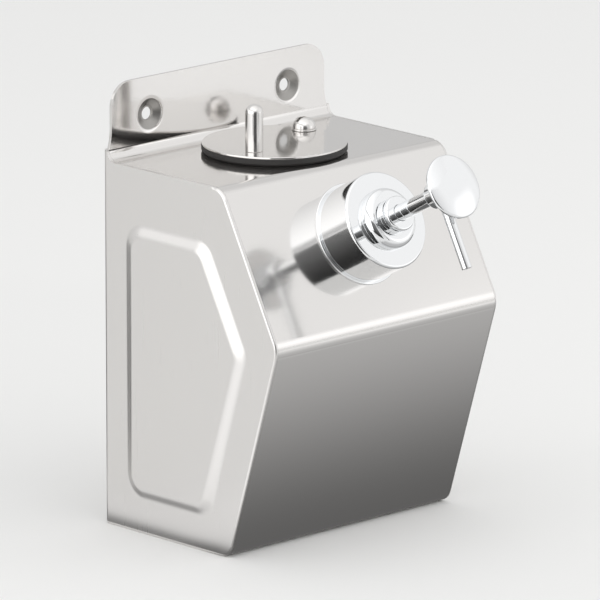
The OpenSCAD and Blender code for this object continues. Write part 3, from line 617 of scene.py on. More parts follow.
def turned_stainless(colours):
    """Stainless bar from the lathe, lightly polished: fine tool marks blur the images into soft streaks.

    The real marks are about 0.1 mm apart; they are drawn as a coarser haze, because those wouldn't show."""
    look = {"Base Color": colours.bright_steel, "Metallic": 1.0}
    return clouded("turned_stainless", look, patch_mm=0.8, detail=2.0, gloss_range=(0.16, 0.24))


def chrome_plate(colours):
    """Bright chrome on turned brass: near-perfect images, with faint smears from handling."""
    look = {"Base Color": colours.chrome, "Metallic": 1.0}
    return clouded("bright_chrome_plate", look, patch_mm=5, detail=3.0, gloss_range=(0.03, 0.09))


def nitrile_rubber(colours):
    """Moulded black nitrile rubber: matt, with a fine grain and a dusty bloom."""
    material, tree, coords = new_material("black_nitrile_rubber")
    # The mould's real grain is under 0.1 mm; it is drawn coarser, because that wouldn't show
    grain_mm, bloom_mm = 0.5, 8
    bloom_gain = 1.5
    grain = add_node(
        tree, "ShaderNodeTexNoise", {"Scale": 1 / grain_mm / MM, "Detail": 2.0},
        {"Vector": (coords, "Object")}
    )
    bloom = add_node(
        tree, "ShaderNodeTexNoise", {"Scale": 1 / bloom_mm / MM, "Detail": 3.0},
        {"Vector": (coords, "Object")}
    )
    tone = add_node(
        tree, "ShaderNodeMix",
        {"A": colours.rubber, "B": [part * bloom_gain for part in colours.rubber[:3]] + [1.0]},
        {"Factor": (bloom, "Fac")}, data_type="RGBA"
    )
    bump = add_node(
        tree, "ShaderNodeBump", {"Strength": 0.4, "Distance": 0.05 * MM}, {"Height": (grain, "Fac")}
    )
    finish_material(
        tree, {"Roughness": 0.62}, {"Base Color": (tone, "Result"), "Normal": (bump, "Normal")}
    )
    return material


def turned_brass(colours):
    """Plain turned brass, a little dull and stained from soap and water."""
    look = {"Base Color": colours.brass, "Metallic": 1.0}
    return clouded("turned_brass", look, patch_mm=7, detail=5.0, gloss_range=(0.22, 0.42))


def natural_nylon(colours):
    """Moulded natural nylon: off-white, waxy and slightly see-through."""
    look = {"Base Color": colours.nylon, "Subsurface Weight": 0.15, "Subsurface Radius": (MM, MM, MM)}
    return clouded("natural_nylon", look, patch_mm=9, detail=2.0, gloss_range=(0.35, 0.5))


def paper_floor(colours):
    """Seamless studio paper: even and matt, with a faint mottle."""
    look = {"Base Color": colours.floor, "Specular IOR Level": 0.1}
    return clouded("seamless_paper", look, patch_mm=60, detail=2.0, gloss_range=(0.85, 0.95))


def soft_card(name, size, levels, grade, fade):
    """Glowing card that only mirrors see, a painted reflection: graded between two places along Y, with edges
    that fade out.
    """
    material, tree, coords = new_material(name)
    place_on = add_node(tree, "ShaderNodeSeparateXYZ", links={"Vector": (coords, "Object")})
    level = add_node(
        tree, "ShaderNodeMapRange",
        {"From Min": grade[0], "From Max": grade[1], "To Min": levels[0], "To Max": levels[1]},
        {"Value": (place_on, "Y")}, interpolation_type="SMOOTHSTEP"
    )
    masks = []
    for axis, length_along in zip("XY", size):
        off_centre = add_node(tree, "ShaderNodeMath", links={0: (place_on, axis)}, operation="ABSOLUTE")
        masks.append(add_node(
            tree, "ShaderNodeMapRange", {"From Min": length_along / 2, "From Max": length_along / 2 - fade},
            {"Value": (off_centre, "Value")}, interpolation_type="SMOOTHSTEP"
        ))
    mask = add_node(
        tree, "ShaderNodeMath", links={0: (masks[0], "Result"), 1: (masks[1], "Result")},
        operation="MULTIPLY"
    )
    clear = add_node(tree, "ShaderNodeBsdfTransparent")
    glow = add_node(tree, "ShaderNodeEmission", links={"Strength": (level, "Result")})
    mixed = add_node(
        tree, "ShaderNodeMixShader", links={0: (mask, "Value"), 1: (clear, "BSDF"), 2: (glow, "Emission")}
    )
    add_node(tree, "ShaderNodeOutputMaterial", links={"Surface": (mixed, "Shader")})
    return material


def the_material(make, context):
    """The material that a function makes, made once."""
    made = context.scene.get("dispenser_made", {})
    name = made.get(make.__name__)
    if name is None:
        name = make(context.scene.dispenser_colours).name
        context.scene["dispenser_made"] = {**made, make.__name__: name}
    return bpy.data.materials[name]


def tank_corners(tank):
    """Corners of the tank's side, depth by height: heel, base, fold, top of the slope and rear of the top."""
    top = -tank.screw_line
    bottom = top - tank.height
    return [
        Vector((0, bottom)), Vector((tank.base_depth, bottom)),
        Vector((tank.fold_depth, bottom + tank.fold_height)),
        Vector((tank.top_depth, top)), Vector((0, top))
    ]


def flange_foot(tank, flange):
    """Height at which the flange starts to narrow, over its bend."""
    return -tank.screw_line + flange.bend + tank.weld_gap


def over(spot, level=0):
    """A seat whose axis stands upright over a spot, with its zero at a level."""
    return Matrix.Translation((spot.x, spot.y, level))


def at_x(x, points):
    """Side outline points, depth by height, as points of the frame."""
    return [Vector((x, -point.x, point.y)) for point in points]


def at_y(y, points):
    """Front outline points, width by height, as points of the frame."""
    return [Vector((point.x, y, point.y)) for point in points]


class DISPENSER_OT_front_wrap(bpy.types.Operator):
    """Folds the sheet that makes the flange, top, slope, front, bottom and rear lip"""

    bl_idname = "dispenser.front_wrap"
    bl_label = "Front wrap"

    def execute(self, context):
        tank = context.scene.dispenser_tank
        flange = context.scene.dispenser_flange
        wrap = self.fold(tank, flange)
        self.trim_flange(wrap, tank, flange)
        self.clear_corners(wrap, tank, flange)
        self.drill_holes(wrap, context)
        self.press_dimples(wrap, tank, flange)
        reopen(wrap)
        close_skin()
        select(wrap, "edges", lambda edge: self.is_flange_rim(edge, tank, flange))
        bpy.ops.mesh.bevel(offset=flange.edge, segments=3, profile=0.5, affect="EDGES", clamp_overlap=True)
        close_piece()
        hand_over(
            wrap, the_material(polished_stainless_sheet, context), "housing", "front_wrap"
        )
        self.dull_and_shade_dimples(wrap, flange, the_material(unpolished_stainless, context))
        return {"FINISHED"}

    def fold(self, tank, flange):
        """The bare folded strip, an edge extruded from bend to bend and then thickened inwards."""
        heel, base, fold, top, _ = tank_corners(tank)
        face = 2 * tank.sheet
        corners = [
            Vector((face, top.y + flange.height)), Vector((face, top.y)), top, fold, base, heel,
            Vector((0, heel.y + tank.lip))
        ]
        radii = [0, flange.bend, tank.top_bend, tank.fold_bend, tank.base_bend, tank.heel_bend, 0]
        points = at_x(0, rounded(corners, radii))
        width = 2 * half_width("front_wrap")
        wrap = begin("tank_front_wrap", bpy.ops.mesh.primitive_plane_add, size=width)
        select(wrap, "verts", lambda vert: vert.co.y > 0)
        bpy.ops.mesh.delete(type="VERT")
        bpy.ops.mesh.select_all(action="SELECT")
        bpy.ops.transform.translate(value=points[0] + Vector((0, width / 2, 0)))
        for last, following in zip(points, points[1:]):
            bpy.ops.mesh.extrude_region_move(TRANSFORM_OT_translate={"value": following - last})
        bpy.ops.mesh.select_all(action="SELECT")
        bpy.ops.mesh.normals_make_consistent(inside=False)
        close_piece()
        apply_modifier(wrap, "SOLIDIFY", thickness=tank.sheet, offset=-1, use_even_offset=True)
        return wrap

    def trim_flange(self, wrap, tank, flange):
        """Narrows the flange above its foot and rounds its upper corners."""
        inner = tank.width / 2 - tank.sheet
        side = flange.width / 2
        foot = flange_foot(tank, flange)
        head = -tank.screw_line + flange.height
        step = inner - side
        rise = math.sqrt(flange.flare ** 2 - (flange.flare - step) ** 2)
        flare = Vector((side + flange.flare, foot + rise))
        start = Vector((inner, foot)) - flare
        end = Vector((side, foot + rise)) - flare
        corner = Vector((side, head)) - Vector((flange.corner, flange.corner))
        outline = [Vector((inner + CUT, foot))]
        outline += [flare + at_angle(start, end, k / BEND_STEPS) for k in range(BEND_STEPS + 1)]
        outline += [
            corner + at_angle(Vector((flange.corner, 0)), Vector((0, flange.corner)), k / BEND_STEPS)
            for k in range(BEND_STEPS + 1)
        ]
        outline += [Vector((corner.x, head + CUT)), Vector((inner + CUT, head + CUT))]
        for sign in (1, -1):
            mirrored = [Vector((sign * point.x, point.y)) for point in outline]
            cut(wrap, block("flange_tool", at_y(CUT, mirrored), Vector((0, -2 * tank.sheet - 2 * CUT, 0))))

    def clear_corners(self, wrap, tank, flange):
        """Makes room at the back for the sides' bends and returns."""
        bottom = -tank.screw_line - tank.height
        half = tank.width / 2
        rear_corners = [
            (half - tank.rear_return, tank.sheet, bottom + tank.lip + CUT),
            (half - tank.rear_bend, tank.rear_bend, flange_foot(tank, flange)),
        ]
        for reach, deep, high in rear_corners:
            for sign in (1, -1):
                near_x = sign * (reach - tank.weld_gap)
                far_x = sign * (half + CUT)
                front_y = -deep - tank.weld_gap
                plan = [(near_x, front_y), (far_x, front_y), (far_x, CUT), (near_x, CUT)]
                points = [Vector((x, y, bottom - CUT)) for x, y in plan]
                cut(wrap, block("corner_tool", points, Vector((0, 0, high - bottom + CUT))))

    def drill_holes(self, wrap, context):
        """Cuts the filler hole, the pivot's hole and the pump's hole."""
        tank = context.scene.dispenser_tank
        lid = context.scene.dispenser_lid
        pump = context.scene.dispenser_pump
        pivot_hole = lid.pivot_shank + 2 * lid.clearance
        for spot, diameter in ((middle("lid_gasket"), lid.filler), (PIVOT, pivot_hole)):
            drill(wrap, over(spot, -tank.screw_line), diameter / 2, -tank.sheet, 0)
        drill(wrap, PUMP_SEAT, pump.hole / 2, -tank.sheet, 0)

    def press_dimples(self, wrap, tank, flange):
        """Presses a cup back to the wall round each screw hole."""
        cup_radius = flange.dimple / 2
        # The cup meets the flat of the flange past the rounding of its rim
        rim = cup_radius + 1.5 * flange.dimple_rim
        seat = flange.dimple_seat / 2
        bore = flange.screw_hole / 2
        front = 2 * tank.sheet
        inside = flange.dimple_seat_sheet
        outline = [
            (rim, tank.sheet, 0), (seat + flange.dimple_back, 0, 0), (bore, 0, 0), (bore, inside, 0),
            (seat, inside, flange.dimple_foot), (cup_radius, front, flange.dimple_rim), (rim, front, 0)
        ]
        steps = TURN_STEPS // 2
        for sign in (1, -1):
            axis = Matrix.Translation((sign * flange.screw_spacing / 2, 0, 0))
            stand = axis @ Matrix.Rotation(math.pi / 2, 4, "X")
            drill(wrap, stand, rim, 0, front, steps)
            cup = turn("dimple", outline, stand, steps=steps)
            for piece in (wrap, cup):
                reopen(piece)
                select(piece, "faces", lambda face: self.in_dimple_wall(face, flange, rim))
                bpy.ops.mesh.delete(type="FACE")
                close_piece()
            join(wrap, cup)

    def dull_and_shade_dimples(self, wrap, flange, finish):
        """Gives the cups of the dimples their own finish: a duller gloss, and a darker grey that is painted
        shade.
        """
        cup_radius = flange.dimple / 2
        wrap.data.materials.append(finish)
        reopen(wrap)
        select(wrap, "faces", lambda face: self.from_screw(face.calc_center_median(), flange) < cup_radius)
        wrap.active_material_index = len(wrap.data.materials) - 1
        bpy.ops.object.material_slot_assign()
        close_piece()

    def from_screw(self, point, flange):
        """Distance of a point from the nearer wall screw's axis."""
        return Vector((abs(point.x) - flange.screw_spacing / 2, point.z)).length

    def in_dimple_wall(self, face, flange, rim):
        """True on the upright wall of a hole that a dimple fills."""
        on_wall = all(abs(self.from_screw(vert.co, flange) - rim) < SLACK for vert in face.verts)
        return on_wall and abs(face.normal.y) < ACROSS

    def is_flange_rim(self, edge, tank, flange):
        """True on the front and back edges round the flange's outline."""
        foot = -tank.screw_line + flange.bend
        for vert in edge.verts:
            if vert.co.z < foot - MERGE or self.from_screw(vert.co, flange) < flange.dimple:
                return False
        return is_corner(edge, "y")


class DISPENSER_OT_side_panels(bpy.types.Operator):
    """Presses and bends the two side panels"""

    bl_idname = "dispenser.side_panels"
    bl_label = "Side panels"

    def execute(self, context):
        tank = context.scene.dispenser_tank
        flange = context.scene.dispenser_flange
        pressing = context.scene.dispenser_pressing
        right = self.press(tank, flange, pressing)
        self.bend_return(right, tank)
        apply_modifier(right, "SOLIDIFY", thickness=tank.sheet, offset=-1, use_even_offset=True)
        self.round_heel(right, tank)
        reopen(right)
        close_skin()
        select(right, "edges", lambda edge: self.is_weld_edge(edge, tank, flange))
        bpy.ops.mesh.bevel(
            offset=tank.weld_edge, segments=4, profile=0.5, affect="EDGES", clamp_overlap=False
        )
        close_skin()
        close_piece()
        pick(right)
        bpy.ops.object.duplicate()
        left = bpy.context.object
        right.name = "tank_right_side"
        left.name = "tank_left_side"
        place(left, Matrix.Scale(-1, 4, RIGHT))
        reopen(left)
        close_skin()
        close_piece()
        steel = the_material(satin_stainless_sheet, context)
        hand_over(right, steel, "housing", "right_side_panel")
        hand_over(left, steel, "housing", "left_side_panel")
        return {"FINISHED"}

    def press(self, tank, flange, pressing):
        """The flat side with its pentagon raised by a soft S-shaped bevel."""
        x = tank.width / 2
        foot = at_x(x, self.pressing_foot(tank, pressing))
        panel = trace("tank_right_side", at_x(x, self.side_outline(tank, flange)))
        close_piece()
        field = trace("pressing", foot)
        close_piece()
        join(panel, field)
        reopen(panel)
        bpy.ops.mesh.select_all(action="SELECT")
        bpy.ops.mesh.fill(use_beauty=True)
        bpy.ops.mesh.dissolve_limited(angle_limit=math.radians(1), use_dissolve_boundaries=False)
        select(panel, "verts", lambda vert: self.is_foot(vert, foot))
        bpy.ops.mesh.edge_face_add()
        bpy.ops.mesh.select_all(action="SELECT")
        bpy.ops.mesh.normals_make_consistent(inside=False)
        if bmesh.from_edit_mesh(panel.data).faces[:][0].normal.x < 0:
            bpy.ops.mesh.flip_normals()
        select(panel, "faces", lambda face: all(self.is_foot(vert, foot) for vert in face.verts))
        turns = [math.pi * k / pressing.steps for k in range(pressing.steps + 1)]
        levels = [pressing.height * (1 - math.cos(angle)) / 2 for angle in turns]
        stride = pressing.run / pressing.steps
        for lower, upper in zip(levels, levels[1:]):
            bpy.ops.mesh.inset(thickness=stride, depth=upper - lower, use_even_offset=True)
        close_piece()
        return panel

    def side_outline(self, tank, flange):
        """Outline of the flat side, with the horn that follows the flange's bend."""
        heel, base, fold, top, _ = tank_corners(tank)
        face = 2 * tank.sheet
        horn = flange_foot(tank, flange)
        return rounded(
            [
                Vector((tank.rear_bend, heel.y)), Vector((self.heel_end(tank), heel.y)), base, fold, top,
                Vector((self.top_end(tank, flange), top.y)), Vector((face, top.y)), Vector((face, horn)),
                Vector((tank.rear_bend, horn))
            ],
            [0, 0, tank.base_bend, tank.fold_bend, tank.top_bend, 0, flange.bend, 0, 0]
        )

    def pressing_foot(self, tank, pressing):
        """Outline of the pressing where its bevel leaves the flat."""
        corners = tank_corners(tank)
        margins = [pressing.bottom, pressing.front, pressing.slope, pressing.top, pressing.rear]
        spread = pressing.run / 2
        grown = inset(inset(corners, margins), [-spread] * len(corners))
        return rounded(grown, [pressing.corner + spread] * len(corners))

    def is_foot(self, vert, foot):
        """True on a point of the pressing's foot."""
        return any((vert.co - point).length < MERGE for point in foot)

    def bend_return(self, panel, tank):
        """Bends the panel's rear edge round onto the back."""
        x = tank.width / 2
        plan = rounded(
            [Vector((x, -tank.rear_bend - MM)), Vector((x, 0)), Vector((x - tank.rear_return, 0))],
            [0, tank.rear_bend, 0]
        )[1:]
        reopen(panel)
        select(panel, "edges", lambda edge: all(near(vert.co.y, -tank.rear_bend) for vert in edge.verts))
        for last, following in zip(plan, plan[1:]):
            step = Vector((following.x - last.x, following.y - last.y, 0))
            bpy.ops.mesh.extrude_region_move(TRANSFORM_OT_translate={"value": step})
        close_piece()

    def round_heel(self, panel, tank):
        """Rounds the lower rear corner to the heel of the wrap."""
        heel = tank_corners(tank)[0]
        arc = rounded(
            [heel, heel + Vector((2 * tank.heel_bend, 0)), heel + Vector((0, 2 * tank.heel_bend))],
            [tank.heel_bend, 0, 0]
        )[:BEND_STEPS + 1]
        low = heel - Vector((CUT, CUT))
        outline = [Vector((low.x, arc[0].y)), *arc, Vector((arc[-1].x, low.y)), low]
        wide = tank.rear_return + 2 * CUT
        cut(panel, block("heel_tool", at_x(tank.width / 2 + CUT, outline), Vector((-wide, 0, 0))))

    def heel_end(self, tank):
        """Depth at which the weld's rounding ends under the tank."""
        return tank.heel_bend + tank.weld_end

    def top_end(self, tank, flange):
        """Depth at which the weld's rounding ends at the top."""
        return 2 * tank.sheet + flange.bend + tank.weld_end

    def is_weld_edge(self, edge, tank, flange):
        """True on the outer edge that is welded to the wrap."""
        x = tank.width / 2
        if not all(near(vert.co.x, x) for vert in edge.verts):
            return False
        under = all(near(vert.co.z, tank_corners(tank)[0].y) for vert in edge.verts)
        end = self.heel_end(tank) if under else self.top_end(tank, flange)
        if max(vert.co.y for vert in edge.verts) > -end + MERGE:
            return False
        return is_corner(edge, "x")


class DISPENSER_OT_filler_lid(bpy.types.Operator):
    """Turns the swing lid, its gasket and the grip pin"""

    bl_idname = "dispenser.filler_lid"
    bl_label = "Filler lid"

    def execute(self, context):
        sizes = context.scene.dispenser_lid
        bright = the_material(mirror_stainless, context)
        rubber = the_material(nitrile_rubber, context)
        turned = the_material(turned_stainless, context)
        hand_over(self.disc(sizes), bright, "lid", "filler_lid")
        hand_over(self.gasket(sizes), rubber, "lid", "lid_gasket")
        hand_over(self.pin(sizes), turned, "lid", "lid_grip_pin")
        return {"FINISHED"}

    def disc(self, sizes):
        """The lid's disc, drilled for its pivot and its pin."""
        low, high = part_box("filler_lid")
        radius = half_width("filler_lid")
        lid = turn(
            "filler_lid_disc", [(radius, low.z, sizes.edge), (radius, high.z, sizes.edge)],
            over(middle("filler_lid")), capped=True, steps=2 * TURN_STEPS
        )
        for spot, diameter in ((PIVOT, sizes.pivot_shoulder), (middle("lid_grip_pin"), sizes.grip_tail)):
            drill(lid, over(spot), diameter / 2 + sizes.clearance, low.z, high.z)
        return lid

    def gasket(self, sizes):
        """The rubber ring under the lid, bevelled below and drilled for the pivot."""
        low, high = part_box("lid_gasket")
        bore = sizes.gasket_bore / 2
        outer = half_width("lid_gasket")
        gasket = turn(
            "filler_gasket",
            [
                (bore, low.z, sizes.gasket_edge), (outer - sizes.gasket_bevel, low.z, 0),
                (outer, low.z + sizes.gasket_bevel, 0), (outer, high.z, sizes.gasket_edge),
                (bore, high.z, sizes.gasket_edge)
            ],
            over(middle("filler_lid")), steps=2 * TURN_STEPS
        )
        drill(gasket, over(PIVOT), sizes.pivot_shoulder / 2 + sizes.gasket_room, low.z, high.z)
        return gasket

    def pin(self, sizes):
        """The domed grip pin, with its tail in the lid."""
        low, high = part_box("lid_grip_pin")
        radius = half_width("lid_grip_pin")
        tail = sizes.grip_tail / 2
        lid_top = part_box("filler_lid")[1].z
        return turn(
            "lid_grip_pin_turned",
            [
                (tail, low.z, sizes.grip_tail_edge), (tail, lid_top, 0), (radius, lid_top, sizes.grip_edge),
                (radius, high.z, DOME * radius)
            ],
            over(middle("lid_grip_pin")), capped=True, rounding_steps=10
        )


class DISPENSER_OT_lid_pivot(bpy.types.Operator):
    """Turns the lid's slotted shoulder screw and its washer"""

    bl_idname = "dispenser.lid_pivot"
    bl_label = "Lid pivot"

    def execute(self, context):
        sizes = context.scene.dispenser_lid
        tank = context.scene.dispenser_tank
        turned = the_material(turned_stainless, context)
        hand_over(self.screw(sizes, tank), turned, "housing", "lid_pivot_screw")
        hand_over(self.washer(sizes), turned, "housing", "lid_pivot_washer")
        return {"FINISHED"}

    def screw(self, sizes, tank):
        """The shoulder screw with its domed and slotted head."""
        low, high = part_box("lid_pivot_screw")
        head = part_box("lid_pivot_washer")[1].z
        top = -tank.screw_line
        shank = sizes.pivot_shank / 2
        shoulder = sizes.pivot_shoulder / 2
        radius = half_width("lid_pivot_screw")
        screw = turn(
            "lid_pivot_shoulder_screw",
            [
                (shank, low.z, sizes.pivot_point), (shank, top, 0), (shoulder, top, 0), (shoulder, head, 0),
                (radius, head, sizes.pivot_edge), (radius, high.z, min(radius, high.z - head) * DOME)
            ],
            over(PIVOT), capped=True, rounding_steps=10
        )
        half = sizes.pivot_slot / 2
        floor = high.z - sizes.pivot_slot_depth
        roof = high.z + CUT
        outline = [(-half, floor), (half, floor), (half, roof), (-half, roof)]
        start = [Vector((PIVOT.x - radius - CUT, PIVOT.y + y, z)) for y, z in outline]
        cut(screw, block("slot_tool", start, Vector((2 * radius + 2 * CUT, 0, 0))))
        return screw

    def washer(self, sizes):
        """The washer between the screw's head and the lid."""
        low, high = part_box("lid_pivot_washer")
        outer = half_width("lid_pivot_washer")
        inner = sizes.pivot_shoulder / 2 + sizes.washer_fit
        edge = sizes.washer_edge
        return turn(
            "lid_pivot_washer_ring",
            [(inner, low.z, 0), (outer, low.z, edge), (outer, high.z, edge), (inner, high.z, 0)],
            over(PIVOT)
        )


class DISPENSER_OT_pump_body(bpy.types.Operator):
    """Turns the fixed outer pieces of the pump: seat ring, barrel, gland nut and guide collar"""

    bl_idname = "dispenser.pump_body"
    bl_label = "Pump body"

    def execute(self, context):
        pump = context.scene.dispenser_pump
        chrome = the_material(chrome_plate, context)
        made = {
            "seat_ring": self.seat_ring(pump),
            "pump_barrel": self.barrel(pump),
            "gland_nut": self.gland_nut(pump),
            "guide_collar": self.guide_collar(pump),
        }
        for node, piece in made.items():
            hand_over(piece, chrome, "housing", node)
        return {"FINISHED"}

    def stem_hole(self, pump):
        """Radius of the running fit round the stem."""
        return half_width("plunger_stem") + pump.run

    def seat_ring(self, pump):
        """The thin ring under the barrel, on the slope."""
        low, high = pump_levels("seat_ring")
        inner = pump.hole / 2
        outer = half_width("seat_ring")
        return turn(
            "pump_seat_ring",
            [(inner, low, 0), (outer, low, pump.seat_foot), (outer, high, pump.seat_edge), (inner, high, 0)],
            PUMP_SEAT, steps=2 * TURN_STEPS
        )

    def barrel(self, pump):
        """The barrel, a cup with a round rim and a bore in its face."""
        low, high = pump_levels("pump_barrel")
        outer = half_width("pump_barrel")
        inside = outer - pump.barrel_wall
        bore = pump.barrel_bore / 2
        under = high - pump.barrel_face
        return turn(
            "pump_barrel_cup",
            [
                (inside, low, 0), (outer, low, pump.fine_edge), (outer, high, pump.barrel_rim),
                (bore, high, 0), (bore, under, 0), (inside, under, 0)
            ],
            PUMP_SEAT, steps=2 * TURN_STEPS
        )

    def gland_nut(self, pump):
        """The domed nut on the barrel's face, whose cup holds the packing."""
        low, high = pump_levels("gland_nut")
        outer = half_width("gland_nut")
        foot = low + pump.gland_spigot
        spigot = pump.barrel_bore / 2 - 2 * pump.fit
        cup = pump.gland_cup / 2
        stem = self.stem_hole(pump)
        packing = pump_levels("stem_packing")[0]
        return turn(
            "pump_gland_nut",
            [
                (stem, low, 0), (spigot, low, 0), (spigot, foot, 0), (outer, foot, pump.small_edge),
                (outer, high, pump.gland_dome), (cup, high, 0), (cup, packing, 0), (stem, packing, 0)
            ],
            PUMP_SEAT, rounding_steps=10
        )

    def guide_collar(self, pump):
        """The grooved collar that guides the stem."""
        low, high = pump_levels("guide_collar")
        outer = half_width("guide_collar")
        foot = high - pump.collar_height
        spigot = pump.collar_spigot / 2
        groove = pump.collar_groove / 2
        groove_low = foot + (pump.collar_height - pump.collar_groove_width) / 2
        groove_high = groove_low + pump.collar_groove_width
        stem = self.stem_hole(pump)
        return turn(
            "pump_guide_collar",
            [
                (stem, low, 0), (spigot, low, 0), (spigot, foot, 0), (outer, foot, pump.small_edge),
                (outer, groove_low, pump.fine_edge), (groove, groove_low, 0), (groove, groove_high, 0),
                (outer, groove_high, pump.fine_edge), (outer, high, pump.collar_edge),
                (stem, high, pump.bore_edge)
            ],
            PUMP_SEAT
        )


class DISPENSER_OT_plunger(bpy.types.Operator):
    """Turns the moving pieces of the pump that show: stem, hub, spout tube and button"""

    bl_idname = "dispenser.plunger"
    bl_label = "Plunger"

    def execute(self, context):
        pump = context.scene.dispenser_pump
        chrome = the_material(chrome_plate, context)
        made = {
            "plunger_stem": self.stem(pump),
            "spout_hub": self.hub(pump),
            "spout_tube": self.spout(pump),
            "push_button": self.button(pump),
        }
        for node, piece in made.items():
            hand_over(piece, chrome, "plunger", node)
        return {"FINISHED"}

    def socket(self, pump):
        """Radius of the bores that sit on the stem."""
        return half_width("plunger_stem") + pump.fit

    def spout_seat(self, pump):
        """The spout's axis as a seat: its z runs from the stem's axis down along the slope."""
        level = pump_levels("spout_hub")[0] + pump.spout_rise
        return PUMP_SEAT @ Matrix.Translation((0, 0, level)) @ Matrix.Rotation(math.pi / 2, 4, "X")

    def stem(self, pump):
        """The hollow stem."""
        low, high = pump_levels("plunger_stem")
        outer = half_width("plunger_stem")
        bore = pump.stem_bore / 2
        return turn(
            "plunger_stem_tube",
            [(bore, low, 0), (outer, low, pump.bore_edge), (outer, high, pump.bore_edge), (bore, high, 0)],
            PUMP_SEAT
        )

    def hub(self, pump):
        """The hub on the stem, drilled for the spout."""
        low, high = pump_levels("spout_hub")
        radius = half_width("spout_hub")
        socket = self.socket(pump)
        hub = turn(
            "plunger_spout_hub",
            [
                (socket, low, 0), (radius, low, pump.hub_edge), (radius, high, pump.small_edge),
                (socket, high, 0)
            ],
            PUMP_SEAT
        )
        # The drill ends in the stem's socket, because the hole goes through one wall of the hub
        spout = half_width("spout_tube")
        drill(hub, self.spout_seat(pump), spout + pump.fit, socket + CUT / 2, radius)
        return hub

    def spout(self, pump):
        """The thin spout tube, from the stem to its rounded tip."""
        start = self.socket(pump)
        tip = span("spout_tube", -SLOPE_UP)[1] - PUMP_FOOT.dot(-SLOPE_UP)
        outer = half_width("spout_tube")
        bore = pump.spout_bore / 2
        return turn(
            "plunger_spout_tube",
            [(bore, start, 0), (outer, start, 0), (outer, tip, pump.bore_edge), (bore, tip, pump.small_edge)],
            self.spout_seat(pump), steps=TURN_STEPS // 2
        )

    def button(self, pump):
        """The disc button, with a shallow dome in front and a boss with a socket behind."""
        low, high = pump_levels("push_button")
        radius = half_width("push_button")
        boss = half_width("spout_hub")
        back = low + pump.button_boss
        face = back + pump.button_rim
        crown = high - face
        crown_radius = (radius ** 2 + crown ** 2) / (2 * crown)
        rings = [radius * k / DOME_STEPS for k in range(DOME_STEPS - 1, 0, -1)]
        dome = [(ring, high - crown_radius + math.sqrt(crown_radius ** 2 - ring ** 2), 0) for ring in rings]
        socket = self.socket(pump)
        socket_end = pump_levels("plunger_stem")[1] + pump.socket_room
        return turn(
            "plunger_push_button",
            [
                (socket, socket_end, 0), (socket, low, 0), (boss, low, pump.small_edge),
                (boss, back, pump.boss_root), (radius, back, pump.button_edge),
                (radius, face, pump.button_edge), *dome
            ],
            PUMP_SEAT, capped=True, steps=2 * TURN_STEPS
        )


class DISPENSER_OT_return_spring(bpy.types.Operator):
    """Winds the return spring at its rest length, on the housing; the plunger presses it together, but
    nothing here makes it shorten
    """

    bl_idname = "dispenser.return_spring"
    bl_label = "Return spring"

    def execute(self, context):
        pump = context.scene.dispenser_pump
        wire = pump.wire / 2
        low, high = pump_levels("return_spring")
        coil = half_width("return_spring") - wire
        pitch = (high - low - pump.wire) / pump.coil_turns
        wire_sides, coil_steps = 12, 28
        spring = begin(
            "pump_return_spring", bpy.ops.mesh.primitive_circle_add, vertices=wire_sides, radius=wire,
            rotation=(math.pi / 2, 0, 0), location=(coil, 0, low + wire)
        )
        close_piece()
        bpy.ops.object.transform_apply(location=True, rotation=True, scale=True)
        apply_modifier(
            spring, "SCREW", axis="Z", angle=2 * math.pi, screw_offset=pitch, iterations=pump.coil_turns,
            steps=coil_steps, render_steps=coil_steps, use_merge_vertices=False
        )
        reopen(spring)
        bpy.ops.mesh.select_all(action="SELECT")
        bpy.ops.mesh.remove_doubles(threshold=MERGE)
        for level in (low + wire, high - wire):
            select(spring, "edges", lambda edge: self.is_open_end(edge, level, pump.wire))
            bpy.ops.mesh.edge_face_add()
        close_skin()
        close_piece()
        place(spring, PUMP_SEAT)
        bright = the_material(mirror_stainless, context)
        hand_over(spring, bright, "housing", "return_spring")
        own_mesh(spring)
        return {"FINISHED"}

    def is_open_end(self, edge, level, reach):
        """True on an edge of the wire's open end near a level."""
        return len(edge.link_faces) == 1 and all(abs(vert.co.z - level) < reach for vert in edge.verts)


class DISPENSER_OT_inner_pieces(bpy.types.Operator):
    """Gives the pieces at the back and inside the tank their finishes"""

    bl_idname = "dispenser.inner_pieces"
    bl_label = "Inner pieces"

    def execute(self, context):
        finishes = {
            satin_stainless_sheet: ["back_plate", "lid_pivot_nut"],
            mirror_stainless: ["inlet_ball", "ball_stop_pin", "outlet_ball"],
            turned_brass: ["pump_cylinder", "lock_nut", "piston"],
            nitrile_rubber: ["stem_packing", "inner_seal_washer", "inlet_seal", "piston_seal"],
            natural_nylon: ["inlet_elbow", "suction_tube", "suction_strainer"],
        }
        for make, nodes in finishes.items():
            for node in nodes:
                for slot in frame["nodes"][node].material_slots:
                    slot.material = the_material(make, context)
        return {"FINISHED"}


